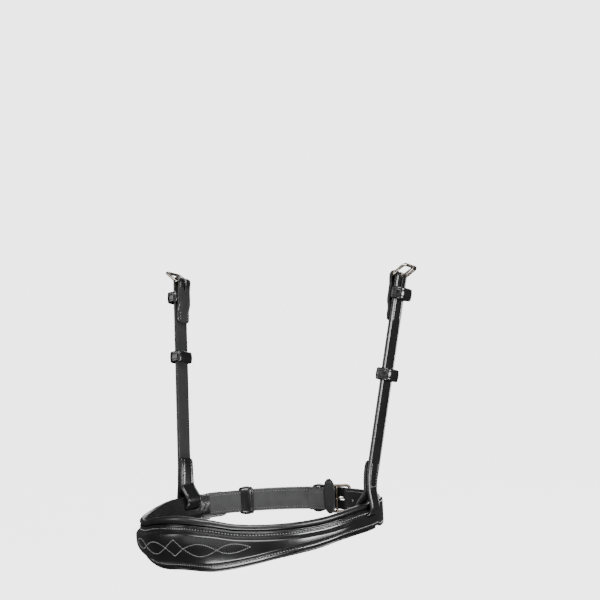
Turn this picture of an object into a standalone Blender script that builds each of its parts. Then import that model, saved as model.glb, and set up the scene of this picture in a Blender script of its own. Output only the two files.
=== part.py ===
"""A raised and padded noseband: band, cheek straps, chin straps, buckles and keepers.

Metres, +Z up. The nose is at -Y, the chin at +Y, and +X is the horse's left, called near; the other
side is off. The origin is the middle of the band's oval, at the height of the chin strap's top edge.
Three coordinates place most pieces: how far along a strap, how far out from it, and how far across.
"""

from math import asin, atan2, ceil, cos, hypot, pi, radians, sin, sqrt

import bmesh
import bpy
from mathutils import Vector

MM = 0.001

# The band's oval, on the seam between lining and facing
BAND_LENGTH = 218 * MM
NOSE_RADIUS = 75 * MM
NOSE_TURN = radians(30)
CHIN_TURN = radians(70)

# The band's edges: distance from the nose's middle, height of the top edge, depth of the band
BAND_STATIONS = (
    (0 * MM, 3.8 * MM, 44.2 * MM),
    (28 * MM, 0.8 * MM, 42.0 * MM),
    (50 * MM, -3.5 * MM, 35.2 * MM),
    (85 * MM, -5.4 * MM, 27.2 * MM),
    (118 * MM, -4.6 * MM, 24.0 * MM),
    (140 * MM, -2.5 * MM, 22.8 * MM),
    (160 * MM, -0.4 * MM, 23.4 * MM),
    (190 * MM, 0.3 * MM, 23.6 * MM),
    (212 * MM, 0.6 * MM, 23.2 * MM),
)
# The lower edge tucks in towards the nose
NOSE_TUCK = 6.0 * MM
NOSE_TUCK_SPREAD = 110 * MM
SECTION_STEP = 8 * MM
PATH_STEP = 6 * MM

# Clear space between touching pieces
GAP = 0.3 * MM

# Lining: padded leather with a rolled top and bottom edge
PAD_NOSE = 5.6 * MM
PAD_SIDE = 4.6 * MM
PAD_FULL_TO = 60 * MM
TOP_ROLL = 2.4 * MM
BOTTOM_ROLL = 1.15 * MM
NOSE_ROLL_EXTRA = 0.8 * MM
NOSE_ROLL_SPREAD = 60 * MM
TOP_ROLL_BACK = 0.6 * MM
BOTTOM_ROLL_BACK = 0.5 * MM
TOP_SHOULDER = 7.5 * MM
BOTTOM_SHOULDER = 5.0 * MM
SHOULDER_SHARE = 0.86
LINING_END = 204 * MM
LINING_SKIN = 1.8 * MM

# Facing: outer leather, flat at its margins and raised over the filler
FACING_THICK = 1.8 * MM
FACING_TOP_MARGIN = 4.7 * MM
FACING_BOTTOM_MARGIN = 3.0 * MM
FACING_END = 228 * MM
FACING_TIP = 10 * MM
FACING_WIDENS_OVER = 10 * MM
RIDGE_RUN = 3.0 * MM
RAISE = 3.2 * MM
CROWN = 0.5 * MM
NOSE_CROWN = 1.0 * MM
NOSE_CROWN_SPREAD = 40 * MM
RAISE_FULL_TO = 140 * MM
RAISE_END = 168 * MM
FILLER_END = 156 * MM
FILLER_INSET = 2.4 * MM
RIDGE_INSIDE_INSET = 0.6 * MM

# Slots for the cheek straps
SLOT_AT = 183 * MM
SLOT_BELOW_TOP = 9.5 * MM
SLOT_CLEAR_END = 1.4 * MM
CUT_REACH = 15 * MM

# Cheek straps
CHEEK_WIDTH = 16 * MM
CHEEK_THICK = 2.6 * MM
STRAP_EDGE = 0.5 * MM
LOOP_CLEAR = 0.6 * MM
LOOP_CLOSE = 12 * MM
STANDS_OUT = 3.3 * MM
LAP_TOP = 34 * MM
NEAR_BAR_AT = 189.5 * MM
OFF_BAR_AT = 196 * MM
TURN_BACK = 38 * MM
BEND_START = 6 * MM
BEND_END = 30 * MM
CHEEK_HEADING = radians(91)
LEAN_OUT = 0.121
LEAN_REAR = 0.184
CREW_DEPTH = 8.3 * MM

# Cheek keepers
KEEPER_WALL = 1.4 * MM
KEEPER_LENGTH = 10 * MM
KEEPER_CLEAR = 0.4 * MM
KEEPER_CORNER = 1.6 * MM
PLY_SETTLE = 9 * MM
FIXED_KEEPER_ROOM = 6.0 * MM
SLIDER_ROOM = 4.6 * MM
SLIDER_SLACK = 2.6 * MM
FIXED_KEEPER_BELOW_BAR = 14.5 * MM
NEAR_SLIDER_AT = 106.6 * MM
OFF_SLIDER_AT = 126 * MM

# Cheek buckles
WIRE = 1.25 * MM
CHEEK_FRAME_REACH = 14 * MM
CHEEK_FRAME_SIDE_CLEAR = 0.6 * MM
CHEEK_FRAME_TILT = radians(48)
FRAME_CORNER = 3.0 * MM
TONGUE_WIRE = 1.0 * MM
TONGUE_TIP_WIRE = 0.7 * MM
TONGUE_CLEAR = 0.2 * MM
TONGUE_PAST_BAR = 2.5 * MM
TONGUE_CURL = radians(250)

# Chin straps
CHIN_WIDTH = 20 * MM
CHIN_THICK = 2.8 * MM
CHIN_TOP = 0.1 * MM
CHIN_START = 196 * MM
CHIN_BAR_PAST_MIDDLE = 0.8 * MM
CHIN_TURN_BACK = 21 * MM
BILLET_TIP_PAST_SLIDER = 6 * MM
BILLET_TIP = 9 * MM
BILLET_HOLE_LENGTH = 10.4 * MM
BILLET_HOLE_WIDTH = 3.4 * MM
BILLET_HOLE_PITCH = 18 * MM
BILLET_HOLE_SIZE = 3.6 * MM
BILLET_HOLES = (-2, -1, 2, 3)
BILLET_RISE_AFTER_TIP_BAR = 1.5 * MM
BILLET_RISE_BEFORE_EYE = 0.5 * MM
TONGUE_HOLE_PAST_MIDDLE = 1.2 * MM
CHIN_FIXED_KEEPER_BEFORE_BAR = 13.5 * MM
CHIN_FIXED_KEEPER_LENGTH = 9 * MM
CHIN_SLIDER_BEFORE_BAR = 81.5 * MM
CHIN_SLIDER_LENGTH = 12 * MM

# Chin buckle: strap bar, tongue bar and tip bar
CHIN_BAR_WIRE = 1.1 * MM
CHIN_TONGUE_BAR_DROP = 1.0 * MM
CHIN_TONGUE_WIRE = 0.85 * MM
CHIN_FRAME_REACH = 20 * MM
CHIN_FRAME_SIDE_CLEAR = 0.4 * MM

# Guard behind the chin buckle
GUARD_HEIGHT = 31.5 * MM
GUARD_WIDTH = 14.5 * MM
GUARD_THICK = 2.4 * MM
GUARD_PAST_BAR = 5.5 * MM
GUARD_RISE = 3.0 * MM

CHIN_MIDDLE_Z = CHIN_TOP - CHIN_WIDTH / 2


# Curves and placing


def oval_arcs():
    """The half oval as (radius, heading at its start, turn): nose, side and chin, closed at the back."""
    side_end = pi - CHIN_TURN
    side_x = sin(side_end) - sin(NOSE_TURN)
    side_y = cos(NOSE_TURN) - cos(side_end)
    chin_x = -sin(side_end)
    chin_y = 1 + cos(side_end)
    need_x = -NOSE_RADIUS * sin(NOSE_TURN)
    need_y = BAND_LENGTH - NOSE_RADIUS * (1 - cos(NOSE_TURN))
    scale = side_x * chin_y - chin_x * side_y
    side_radius = (need_x * chin_y - chin_x * need_y) / scale
    chin_radius = (side_x * need_y - need_x * side_y) / scale
    return (
        (NOSE_RADIUS, 0.0, NOSE_TURN),
        (side_radius, NOSE_TURN, side_end - NOSE_TURN),
        (chin_radius, side_end, CHIN_TURN),
    )


ARCS = oval_arcs()
HALF_GIRTH = sum(radius * turn for radius, start, turn in ARCS)


def seam(along):
    """Point, outward direction and forward direction of the seam, along metres from the nose."""
    along = (along + HALF_GIRTH) % (2 * HALF_GIRTH) - HALF_GIRTH
    side = 1 if along >= 0 else -1
    left = abs(along)
    x, y = 0.0, -BAND_LENGTH / 2
    for radius, start, turn in ARCS:
        part = min(left / radius, turn)
        heading = start + part
        x += radius * (sin(heading) - sin(start))
        y += radius * (cos(start) - cos(heading))
        left -= part * radius
        if left <= 1e-9:
            break
    out = Vector((side * sin(heading), -cos(heading), 0))
    forward = Vector((cos(heading), side * sin(heading), 0))
    return Vector((side * x, y, 0)), out, forward


def place_chin(along, out, across):
    """A point of the chin straps: along the seam, out from it, across from their middle line."""
    point, outward, forward = seam(along)
    return point + outward * out + Vector((0, 0, CHIN_MIDDLE_Z + across))


def ease(value, low, high):
    """0 below low, 1 above high, and a smooth change between."""
    part = min(max((value - low) / (high - low), 0.0), 1.0)
    return part * part * (3 - 2 * part)


def station_value(along, column):
    """A band station's value by a smooth curve through the stations, the same on both sides."""
    at = abs(along)
    mirrored = ((-BAND_STATIONS[1][0], 0, 0),) + BAND_STATIONS
    spots = [station[0] for station in mirrored]
    values = [station[column] for station in mirrored]
    values[0] = BAND_STATIONS[1][column]
    last = len(spots) - 2
    index = last
    for number in range(1, last + 1):
        if at <= spots[number + 1]:
            index = number
            break
    span = spots[index + 1] - spots[index]
    part = min((at - spots[index]) / span, 1.0)
    slope_low = (values[index + 1] - values[index - 1]) / (spots[index + 1] - spots[index - 1])
    slope_high = (values[index + 1] - values[index]) / span
    if index < last:
        slope_high = (values[index + 2] - values[index]) / (spots[index + 2] - spots[index])
    square, cube = part * part, part * part * part
    return (
        (2 * cube - 3 * square + 1) * values[index]
        + (cube - 2 * square + part) * span * slope_low
        + (3 * square - 2 * cube) * values[index + 1]
        + (cube - square) * span * slope_high
    )


def band_top(along):
    return station_value(along, 1)


def band_depth(along):
    return station_value(along, 2)


def place_band(along, out, height):
    """A point of the band: along the seam, out from it, at a height; low points tuck in at the nose."""
    point, outward, forward = seam(along)
    low = max((band_top(along) - height) / band_depth(along), 0)
    tuck = NOSE_TUCK * low * low * (1 - ease(abs(along), 0, NOSE_TUCK_SPREAD))
    return point + outward * (out - tuck) + Vector((0, 0, height))


def arc(centre, radius, start, turn, steps):
    """Points (along, out) on an arc; angle 0 points along, and pi / 2 points out."""
    return [
        (
            centre[0] + radius * cos(start + turn * step / steps),
            centre[1] + radius * sin(start + turn * step / steps),
        )
        for step in range(steps + 1)
    ]


def sway(start, end, steps):
    """Points (along, out) from start to end that leave and arrive in line with the strap."""
    points = []
    for step in range(1, steps):
        part = step / steps
        shift = (1 - cos(pi * part)) / 2
        points.append((start[0] + (end[0] - start[0]) * part, start[1] + (end[1] - start[1]) * shift))
    return points


def run(start, end, longest):
    """Points between start and end, no further apart than longest, without the two ends."""
    steps = max(1, ceil(abs(end[0] - start[0]) / longest))
    return [
        (start[0] + (end[0] - start[0]) * step / steps, start[1] + (end[1] - start[1]) * step / steps)
        for step in range(1, steps)
    ]


# Meshes


def material(name, colour, roughness, metallic):
    made = bpy.data.materials.new(name)
    made.use_nodes = True
    shader = made.node_tree.nodes["Principled BSDF"]
    shader.inputs["Base Color"].default_value = (*colour, 1)
    shader.inputs["Roughness"].default_value = roughness
    shader.inputs["Metallic"].default_value = metallic
    return made


def loft(name, rings, finish, origin=None, closed=False):
    """One solid through rings of points, open with two flat ends or closed into a loop."""
    shape = bmesh.new()
    rows = [[shape.verts.new(point) for point in ring] for ring in rings]
    count = len(rows[0])
    pairs = list(zip(rows, rows[1:]))
    if closed:
        pairs.append((rows[-1], rows[0]))
    else:
        shape.faces.new(rows[0])
        shape.faces.new(rows[-1])
    for low, high in pairs:
        for index in range(count):
            after = (index + 1) % count
            shape.faces.new((low[index], low[after], high[after], high[index]))
    bmesh.ops.recalc_face_normals(shape, faces=shape.faces)
    if shape.calc_volume(signed=True) < 0:
        bmesh.ops.reverse_faces(shape, faces=shape.faces)
    home = Vector(origin) if origin is not None else Vector((0, 0, 0))
    bmesh.ops.translate(shape, verts=shape.verts, vec=-home)
    mesh = bpy.data.meshes.new(name)
    shape.to_mesh(mesh)
    shape.free()
    mesh.shade_smooth()
    mesh.set_sharp_from_angle(angle=radians(40))
    made = bpy.data.objects.new(name, mesh)
    made.location = home
    bpy.context.collection.objects.link(made)
    if finish is not None:
        mesh.materials.append(finish)
    return made


def combine(made, tool, operation):
    """Cut made with tool, or join tool to it; the tool is a guide and isn't part of the model."""
    tool.hide_render = True
    tool.display_type = "WIRE"
    cut = made.modifiers.new(operation.lower(), "BOOLEAN")
    cut.operation = operation
    cut.solver = "EXACT"
    cut.object = tool


def cut_oval(made, along, height, length, width):
    """An opening with round ends, straight through the leather at a place on the seam."""
    point, outward, forward = seam(along)
    middle = point + Vector((0, 0, height))
    radius = width / 2
    outline = []
    for end, start in ((length / 2 - radius, -pi / 2), (radius - length / 2, pi / 2)):
        for step in range(7):
            angle = start + pi * step / 6
            outline.append((end + radius * cos(angle), radius * sin(angle)))
    rings = [
        [middle + outward * out + forward * onward + Vector((0, 0, up)) for onward, up in outline]
        for out in (-CUT_REACH, CUT_REACH)
    ]
    combine(made, loft(made.name + "_opening_guide", rings, None), "DIFFERENCE")


def strip_section(width, thick):
    """The eight corners (out, across) of a strap whose long edges are taken off."""
    half, deep = width / 2, thick / 2
    edge = min(STRAP_EDGE, deep / 2)
    quarter = ((half - edge, deep), (half, deep - edge), (half, edge - deep), (half - edge, -deep))
    return [(out, across) for across, out in quarter] + [(out, -across) for across, out in reversed(quarter)]


def strap(name, place, path, width, thick, finish, origin=None, tip=0.0):
    """A strap along a path of (along, out) points; tip rounds the path's last end over that length."""
    rings = []
    lengths = [0.0]
    for before, after in zip(path, path[1:]):
        lengths.append(lengths[-1] + hypot(after[0] - before[0], after[1] - before[1]))
    for index, point in enumerate(path):
        before = path[max(index - 1, 0)]
        after = path[min(index + 1, len(path) - 1)]
        size = hypot(after[0] - before[0], after[1] - before[1])
        normal = (-(after[1] - before[1]) / size, (after[0] - before[0]) / size)
        here = width
        left = lengths[-1] - lengths[index]
        if left < tip:
            here = width * max(sqrt(1 - (1 - left / tip) ** 2), 0.3)
        rings.append([
            place(point[0] + normal[0] * out, point[1] + normal[1] * out, across)
            for out, across in strip_section(here, thick)
        ])
    return loft(name, rings, finish, origin)


def keeper(name, place, middle, length, low, high, width, wall, finish, origin=None):
    """A flat leather loop: its inside runs from low to high and is width wide, and length is along."""
    corner = KEEPER_CORNER
    half = width / 2
    corners = (
        (high - corner, half - corner, 0.0),
        (low + corner, half - corner, pi / 2),
        (low + corner, corner - half, pi),
        (high - corner, corner - half, 3 * pi / 2),
    )
    edge = wall / 4
    profile = (
        (0.0, edge - length / 2),
        (edge, -length / 2),
        (wall - edge, -length / 2),
        (wall, edge - length / 2),
        (wall, length / 2 - edge),
        (wall - edge, length / 2),
        (edge, length / 2),
        (0.0, length / 2 - edge),
    )
    rings = []
    for out, across, start in corners:
        for step in range(4):
            angle = start + pi / 2 * step / 3
            rings.append([
                place(
                    middle + along,
                    out + (corner + depth) * cos(angle),
                    across + (corner + depth) * sin(angle),
                )
                for depth, along in profile
            ])
    return loft(name, rings, finish, origin, closed=True)


def rod_rings(points, radii, across, sides):
    """Round sections along points that lie in one plane, square to across."""
    rings = []
    for index, point in enumerate(points):
        before = points[max(index - 1, 0)]
        after = points[min(index + 1, len(points) - 1)]
        side = (after - before).cross(across).normalized()
        rings.append([
            point + (side * cos(2 * pi * turn / sides) + across * sin(2 * pi * turn / sides)) * radii[index]
            for turn in range(sides)
        ])
    return rings


def bar(name, start, end, radius, finish):
    """A straight round bar."""
    across = (end - start).orthogonal().normalized()
    return loft(name, rod_rings([start, end], [radius, radius], across, 10), finish)


def buckle_frame(name, heel, reach_way, across_way, reach, width, finish):
    """A wire frame: its heel bar's middle is at heel and its tip bar is reach away; width is inside."""
    half = width / 2 + WIRE
    normal = reach_way.cross(across_way).normalized()
    corners = (
        (reach - FRAME_CORNER, half - FRAME_CORNER, 0.0),
        (FRAME_CORNER, half - FRAME_CORNER, pi / 2),
        (FRAME_CORNER, FRAME_CORNER - half, pi),
        (reach - FRAME_CORNER, FRAME_CORNER - half, 3 * pi / 2),
    )
    path = []
    for along, across, start in corners:
        for step in range(5):
            angle = start + pi / 2 * step / 4
            path.append((
                heel + reach_way * (along + FRAME_CORNER * cos(angle))
                + across_way * (across + FRAME_CORNER * sin(angle)),
                reach_way * cos(angle) + across_way * sin(angle),
            ))
    rings = [
        [
            point + (away * cos(2 * pi * turn / 8) + normal * sin(2 * pi * turn / 8)) * WIRE
            for turn in range(8)
        ]
        for point, away in path
    ]
    return loft(name, rings, finish, heel, closed=True)


def buckle_tongue(name, bar_at, ways, bar_wire, wire, reach, rise, finish):
    """A prong curled round a bar; it lies on a tip bar that is reach away and rise further out."""
    reach_way, out_way, across_way = ways
    eye = bar_wire + TONGUE_CLEAR + wire
    rest = rise + WIRE + GAP + TONGUE_TIP_WIRE
    end = (reach + WIRE + TONGUE_PAST_BAR, rest)
    flat = [end, (reach, rest), (reach * 0.6, eye + (rest - eye) * 0.6), (reach * 0.2, eye + (rest - eye) * 0.1)]
    radii = [TONGUE_TIP_WIRE * 0.6, TONGUE_TIP_WIRE, wire, wire]
    steps = 9
    for step in range(steps + 1):
        angle = pi / 2 + TONGUE_CURL * step / steps
        flat.append((eye * cos(angle), eye * sin(angle)))
        radii.append(wire)
    points = [bar_at + reach_way * along + out_way * out for along, out in flat]
    return loft(name, rod_rings(points, radii, across_way, 8), finish, bar_at)


# The band


def stations(end, extra=()):
    """Places along the seam from -end to end for the sections of a band piece."""
    steps = ceil(2 * end / SECTION_STEP)
    spots = [-end + 2 * end * step / steps for step in range(steps + 1)]
    spots += [side * spot for spot in extra for side in (-1, 1)]
    return sorted(spots)


def raise_at(along):
    return 1 - ease(abs(along), RAISE_FULL_TO, RAISE_END)


def crown_at(along):
    return (CROWN + NOSE_CROWN * (1 - ease(abs(along), 0, 2 * NOSE_CROWN_SPREAD))) * raise_at(along)


def pad_at(along):
    return PAD_SIDE + (PAD_NOSE - PAD_SIDE) * (1 - ease(abs(along), PAD_FULL_TO, RAISE_FULL_TO))


def top_roll_at(along):
    return TOP_ROLL + NOSE_ROLL_EXTRA * (1 - ease(abs(along), 0, NOSE_ROLL_SPREAD))


STRAP_END_RUN = 0.8 * MM
LINING_STEP = CHIN_START - GAP


def make_lining(finish):
    """The padded backing, with a roll along each edge, thinned where the chin straps enter."""
    rings = []
    for along in stations(LINING_END, (LINING_STEP - STRAP_END_RUN, LINING_STEP)):
        top = band_top(along)
        bottom = top - band_depth(along)
        pad = pad_at(along)
        thin = 1 if abs(along) >= LINING_STEP - 1e-6 else 0
        face = -(CHIN_THICK + GAP) * thin
        pad = max(pad, (CHIN_THICK + GAP + LINING_SKIN) * thin)
        top_roll = top_roll_at(along) * (1 - 0.6 * thin)
        bottom_roll = BOTTOM_ROLL * (1 - 0.45 * thin)
        top_out = face - TOP_ROLL_BACK * (1 - thin) - top_roll * thin
        bottom_out = face - BOTTOM_ROLL_BACK * (1 - thin) - bottom_roll * thin
        section = []
        for degrees in (-70, -25, 20, 65, 110, 155):
            section.append((
                top_out + top_roll * cos(radians(degrees)),
                top - top_roll + top_roll * sin(radians(degrees)),
            ))
        section += [
            (-pad * SHOULDER_SHARE, top - TOP_SHOULDER),
            (-pad, top - 0.36 * (top - bottom)),
            (-pad, bottom + 0.34 * (top - bottom)),
            (-pad * SHOULDER_SHARE, bottom + BOTTOM_SHOULDER),
        ]
        for degrees in (205, 250, 295, 340, 25, 70):
            section.append((
                bottom_out + bottom_roll * cos(radians(degrees)),
                bottom + bottom_roll + bottom_roll * sin(radians(degrees)),
            ))
        low_edge = bottom + 2 * (BOTTOM_ROLL + GAP)
        high_edge = top - 2 * (top_roll_at(along) + GAP)
        section += [(face, low_edge), (face, high_edge)]
        rings.append([place_band(along, out, height) for out, height in section])
    return loft("nose_lining", rings, finish)


def facing_edges(along):
    """Top and bottom height of the facing and its share of full depth, less than 1 in its round tip."""
    beside_rolls = 1 - ease(abs(along), LINING_STEP, LINING_STEP + FACING_WIDENS_OVER)
    top = band_top(along) - GAP - 2 * top_roll_at(along) * beside_rolls
    bottom = band_top(along) - band_depth(along) + GAP + 2 * BOTTOM_ROLL * beside_rolls
    past = max(abs(along) - (FACING_END - FACING_TIP), 0)
    share = max(sqrt(max(1 - (past / FACING_TIP) ** 2, 0)), 0.25)
    middle = (top + bottom) / 2
    return middle + (top - middle) * share, middle + (bottom - middle) * share, share


def ridge_points(along, base, inset, lift):
    """Points (out, height) of the raised part from top to bottom, inset from the facing's outside."""
    high = lift * raise_at(along)
    top, bottom, share = facing_edges(along)
    start = top - (FACING_TOP_MARGIN + inset) * share
    finish = bottom + (FACING_BOTTOM_MARGIN + inset) * share
    rise = min(RIDGE_RUN, 0.42 * (start - finish))
    return [
        (base, start),
        (base + 0.7 * high, start - 0.5 * rise),
        (base + high, start - rise),
        (base + high + crown_at(along), (start + finish) / 2),
        (base + high, finish + rise),
        (base + 0.7 * high, finish + 0.5 * rise),
        (base, finish),
    ]


def make_facing(finish):
    """The outer leather, raised over the filler and cut short of the lining's rolls."""
    rings = []
    tip_spots = (FACING_END - FACING_TIP, FACING_END - 0.45 * FACING_TIP, FACING_END - 0.15 * FACING_TIP)
    for along in stations(FACING_END, tip_spots):
        top, bottom, share = facing_edges(along)
        outside = GAP + FACING_THICK
        section = [(outside, top)] + ridge_points(along, outside, 0, RAISE) + [(outside, bottom)]
        inner = [(GAP, top)] + ridge_points(along, GAP, RIDGE_INSIDE_INSET, RAISE) + [(GAP, bottom)]
        section += reversed(inner)
        rings.append([place_band(along, out, height) for out, height in section])
    return loft("nose_facing", rings, finish)


def make_filler(finish):
    """The core that raises the facing, between it and the lining."""
    rings = []
    for along in stations(FILLER_END):
        section = ridge_points(along, GAP, FILLER_INSET, RAISE - GAP)
        rings.append([place_band(along, out, height) for out, height in section])
    return loft("nose_filler", rings, finish)


SLOT_MIDDLE_Z = band_top(SLOT_AT) - SLOT_BELOW_TOP
BRIDGE_OUT = (GAP + FACING_THICK - pad_at(SLOT_AT)) / 2
BRIDGE_HALF_THICK = (GAP + FACING_THICK + pad_at(SLOT_AT)) / 2


def loop_sizes():
    """Bridge's middle height, loop's inside radius and slot's height, which depend on each other."""
    slot = CHEEK_THICK + 2 * LOOP_CLEAR
    for repeat in range(20):
        bridge = band_top(SLOT_AT) - (SLOT_MIDDLE_Z + slot / 2)
        radius = hypot(BRIDGE_HALF_THICK, bridge / 2) + GAP
        slot = 2 * (radius + CHEEK_THICK + LOOP_CLEAR / 2 + bridge / 2 - SLOT_BELOW_TOP)
    return band_top(SLOT_AT) - bridge / 2, radius, slot


BRIDGE_Z, LOOP_RADIUS, SLOT_HEIGHT = loop_sizes()


def cut_slot(made, side):
    """The slot for one cheek strap through a band piece."""
    length = CHEEK_WIDTH + 2 * SLOT_CLEAR_END
    cut_oval(made, side * SLOT_AT, SLOT_MIDDLE_Z, length, SLOT_HEIGHT)


# Cheek straps


class CheekLine:
    """The near cheek strap's middle line: upright at the slot, then leaning out and to the rear."""

    def __init__(self):
        point, outward, forward = seam(SLOT_AT)
        self.slot_heading = atan2(forward.y, forward.x)
        self.base = point + outward * (BRIDGE_OUT - LOOP_OUT)
        self.steps = 24
        self.marks = [self.base + Vector((0, 0, BEND_START))]
        span = (BEND_END - BEND_START) / self.steps
        for step in range(self.steps):
            self.marks.append(self.marks[-1] + self.frame(BEND_START + span * (step + 0.5))[2] * span)

    def frame(self, along):
        """Outward, rearward and upward directions of the strap."""
        share = ease(along, BEND_START, BEND_END)
        heading = self.slot_heading + (CHEEK_HEADING - self.slot_heading) * share
        outward = Vector((sin(heading), -cos(heading), 0))
        rearward = Vector((cos(heading), sin(heading), 0))
        up = (Vector((0, 0, 1)) + outward * LEAN_OUT * share + rearward * LEAN_REAR * share).normalized()
        outward = (outward - up * outward.dot(up)).normalized()
        return outward, up.cross(outward), up

    def middle(self, along):
        if along <= BEND_START:
            return self.base + Vector((0, 0, along))
        if along >= BEND_END:
            return self.marks[-1] + self.frame(along)[2] * (along - BEND_END)
        step = (along - BEND_START) / (BEND_END - BEND_START) * self.steps
        index = min(int(step), self.steps - 1)
        return self.marks[index].lerp(self.marks[index + 1], step - index)

    def place(self, along, out, across):
        outward, rearward, up = self.frame(along)
        return self.middle(along) + outward * out + rearward * across


LAP_OUT = -(CHEEK_THICK + GAP)
LOOP_OUT = LAP_OUT / 2 - STANDS_OUT
LOOP_PLY = LOOP_RADIUS + CHEEK_THICK / 2
BAR_PLY = WIRE + GAP + CHEEK_THICK / 2
KEEPER_PLY_OUT = -(CHEEK_THICK + KEEPER_WALL + KEEPER_CLEAR + GAP)
LINE = CheekLine()


def mirrored(point, side):
    return Vector((side * point.x, point.y, point.z))


def cheek_place(side):
    """Placing on one cheek strap; side is 1 for near and -1 for off."""
    return lambda along, out, across: mirrored(LINE.place(along, out, across), side)


def cheek_path(bar_at):
    """From the lap's end down, through the slot, up the outside, round the bar and down again."""
    loop = (BRIDGE_Z, LOOP_OUT)
    keeper_top = bar_at - FIXED_KEEPER_BELOW_BAR + KEEPER_LENGTH / 2
    keeper_bottom = keeper_top - KEEPER_LENGTH
    turn_end = bar_at - TURN_BACK
    path = [(LAP_TOP, LAP_OUT)]
    path += run((LAP_TOP, LAP_OUT), (LOOP_CLOSE, LAP_OUT), PATH_STEP)
    path += [(LOOP_CLOSE, LAP_OUT)]
    path += sway((LOOP_CLOSE, LAP_OUT), (BRIDGE_Z, LOOP_OUT - LOOP_PLY), 6)
    path += arc(loop, LOOP_PLY, -pi / 2, -pi, 12)
    path += sway((BRIDGE_Z, LOOP_OUT + LOOP_PLY), (LOOP_CLOSE, 0), 6)
    path += [(LOOP_CLOSE, 0)]
    path += run((LOOP_CLOSE, 0), (LAP_TOP, 0), PATH_STEP)
    path += [(LAP_TOP, 0), (turn_end, 0), (keeper_bottom - GAP, 0)]
    path += arc((bar_at, -BAR_PLY), BAR_PLY, pi / 2, -pi, 10)
    path += sway((bar_at, -2 * BAR_PLY), (keeper_top + GAP, KEEPER_PLY_OUT), 4)
    path += [(keeper_top + GAP, KEEPER_PLY_OUT), (keeper_bottom - GAP, KEEPER_PLY_OUT)]
    path += sway((keeper_bottom - GAP, KEEPER_PLY_OUT), (keeper_bottom - PLY_SETTLE, LAP_OUT), 4)
    path += [(keeper_bottom - PLY_SETTLE, LAP_OUT), (turn_end, LAP_OUT)]
    return path


def make_cheek(side, name, bar_at, slider_at, leather, metal):
    """One cheek strap with its keepers, buckle frame and tongue."""
    place = cheek_place(side)
    made = strap(
        name + "_cheek_strap", place, cheek_path(bar_at), CHEEK_WIDTH, CHEEK_THICK, leather["strap"],
        place(BRIDGE_Z, LOOP_OUT, 0),
    )
    crew = TONGUE_WIRE + KEEPER_CLEAR
    low, high = -2 * (BAR_PLY + CHEEK_THICK), CHEEK_THICK
    rings = [
        [
            place(along, out, across)
            for out, across in ((low, -crew), (high, -crew), (high, crew), (low, crew))
        ]
        for along in (bar_at - CREW_DEPTH, bar_at + BAR_PLY + CHEEK_THICK)
    ]
    combine(made, loft(name + "_crew_guide", rings, None), "DIFFERENCE")

    inside = CHEEK_WIDTH + 2 * KEEPER_CLEAR
    for kind, spot, slack, room in (
        ("fixed", bar_at - FIXED_KEEPER_BELOW_BAR, 0, FIXED_KEEPER_ROOM),
        ("sliding", slider_at, SLIDER_SLACK, SLIDER_ROOM),
    ):
        low = -CHEEK_THICK / 2 - KEEPER_CLEAR - slack
        high = CHEEK_THICK / 2 + room
        keeper(
            name + "_" + kind + "_keeper", place, spot, KEEPER_LENGTH, low, high, inside,
            KEEPER_WALL, leather["keeper"], place(spot, 0, 0),
        )

    heel = place(bar_at, -BAR_PLY, 0)
    outward, rearward, up = [mirrored(way, side) for way in LINE.frame(bar_at)]
    reach_way = up * cos(CHEEK_FRAME_TILT) + outward * sin(CHEEK_FRAME_TILT)
    out_way = outward * cos(CHEEK_FRAME_TILT) - up * sin(CHEEK_FRAME_TILT)
    width = CHEEK_WIDTH + 2 * CHEEK_FRAME_SIDE_CLEAR
    buckle_frame(
        name + "_cheek_buckle_frame", heel, reach_way, rearward, CHEEK_FRAME_REACH, width, metal["frame"],
    )
    buckle_tongue(
        name + "_cheek_buckle_tongue", heel, (reach_way, out_way, rearward), WIRE, TONGUE_WIRE,
        CHEEK_FRAME_REACH, 0, metal["tongue"],
    )


# Chin straps and buckle

CHIN_OUT = -CHIN_THICK / 2
CHIN_PLY = WIRE + GAP + CHIN_THICK / 2
CHIN_BAR_AT = -(HALF_GIRTH + CHIN_BAR_PAST_MIDDLE)
CHIN_BAR_OUT = CHIN_OUT - CHIN_PLY
CHIN_FIXED_AT = CHIN_BAR_AT + CHIN_FIXED_KEEPER_BEFORE_BAR
CHIN_SLIDER_MIDDLE = CHIN_BAR_AT + CHIN_SLIDER_BEFORE_BAR
CHIN_TURNED_OUT = CHIN_OUT - (CHIN_THICK + KEEPER_WALL + KEEPER_CLEAR + GAP)
TIP_BAR_OUT = GAP + WIRE
CHIN_FOLD_REACH = CHIN_PLY + CHIN_THICK / 2
CHIN_TONGUE_EYE = CHIN_BAR_WIRE + TONGUE_CLEAR + 2 * CHIN_TONGUE_WIRE
CHIN_TONGUE_BAR_AT = CHIN_FOLD_REACH + GAP + CHIN_TONGUE_EYE
CHIN_TILT = asin((TIP_BAR_OUT - CHIN_BAR_OUT) / CHIN_FRAME_REACH)


def make_buckle_strap(finish):
    """The off chin strap: from the lining to the buckle's strap bar, round it and back."""
    path = [(-CHIN_START, CHIN_OUT)]
    path += run((-CHIN_START, CHIN_OUT), (CHIN_BAR_AT, CHIN_OUT), PATH_STEP)
    path += arc((CHIN_BAR_AT, CHIN_BAR_OUT), CHIN_PLY, pi / 2, pi, 10)
    settle = CHIN_FIXED_AT - CHIN_FIXED_KEEPER_LENGTH / 2 - GAP
    path += sway((CHIN_BAR_AT, CHIN_BAR_OUT - CHIN_PLY), (settle, CHIN_TURNED_OUT), 5)
    end = (CHIN_BAR_AT + CHIN_TURN_BACK, CHIN_TURNED_OUT)
    path += [(settle, CHIN_TURNED_OUT)] + run((settle, CHIN_TURNED_OUT), end, PATH_STEP) + [end]
    return strap("chin_buckle_strap", place_chin, path, CHIN_WIDTH, CHIN_THICK, finish)


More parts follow.
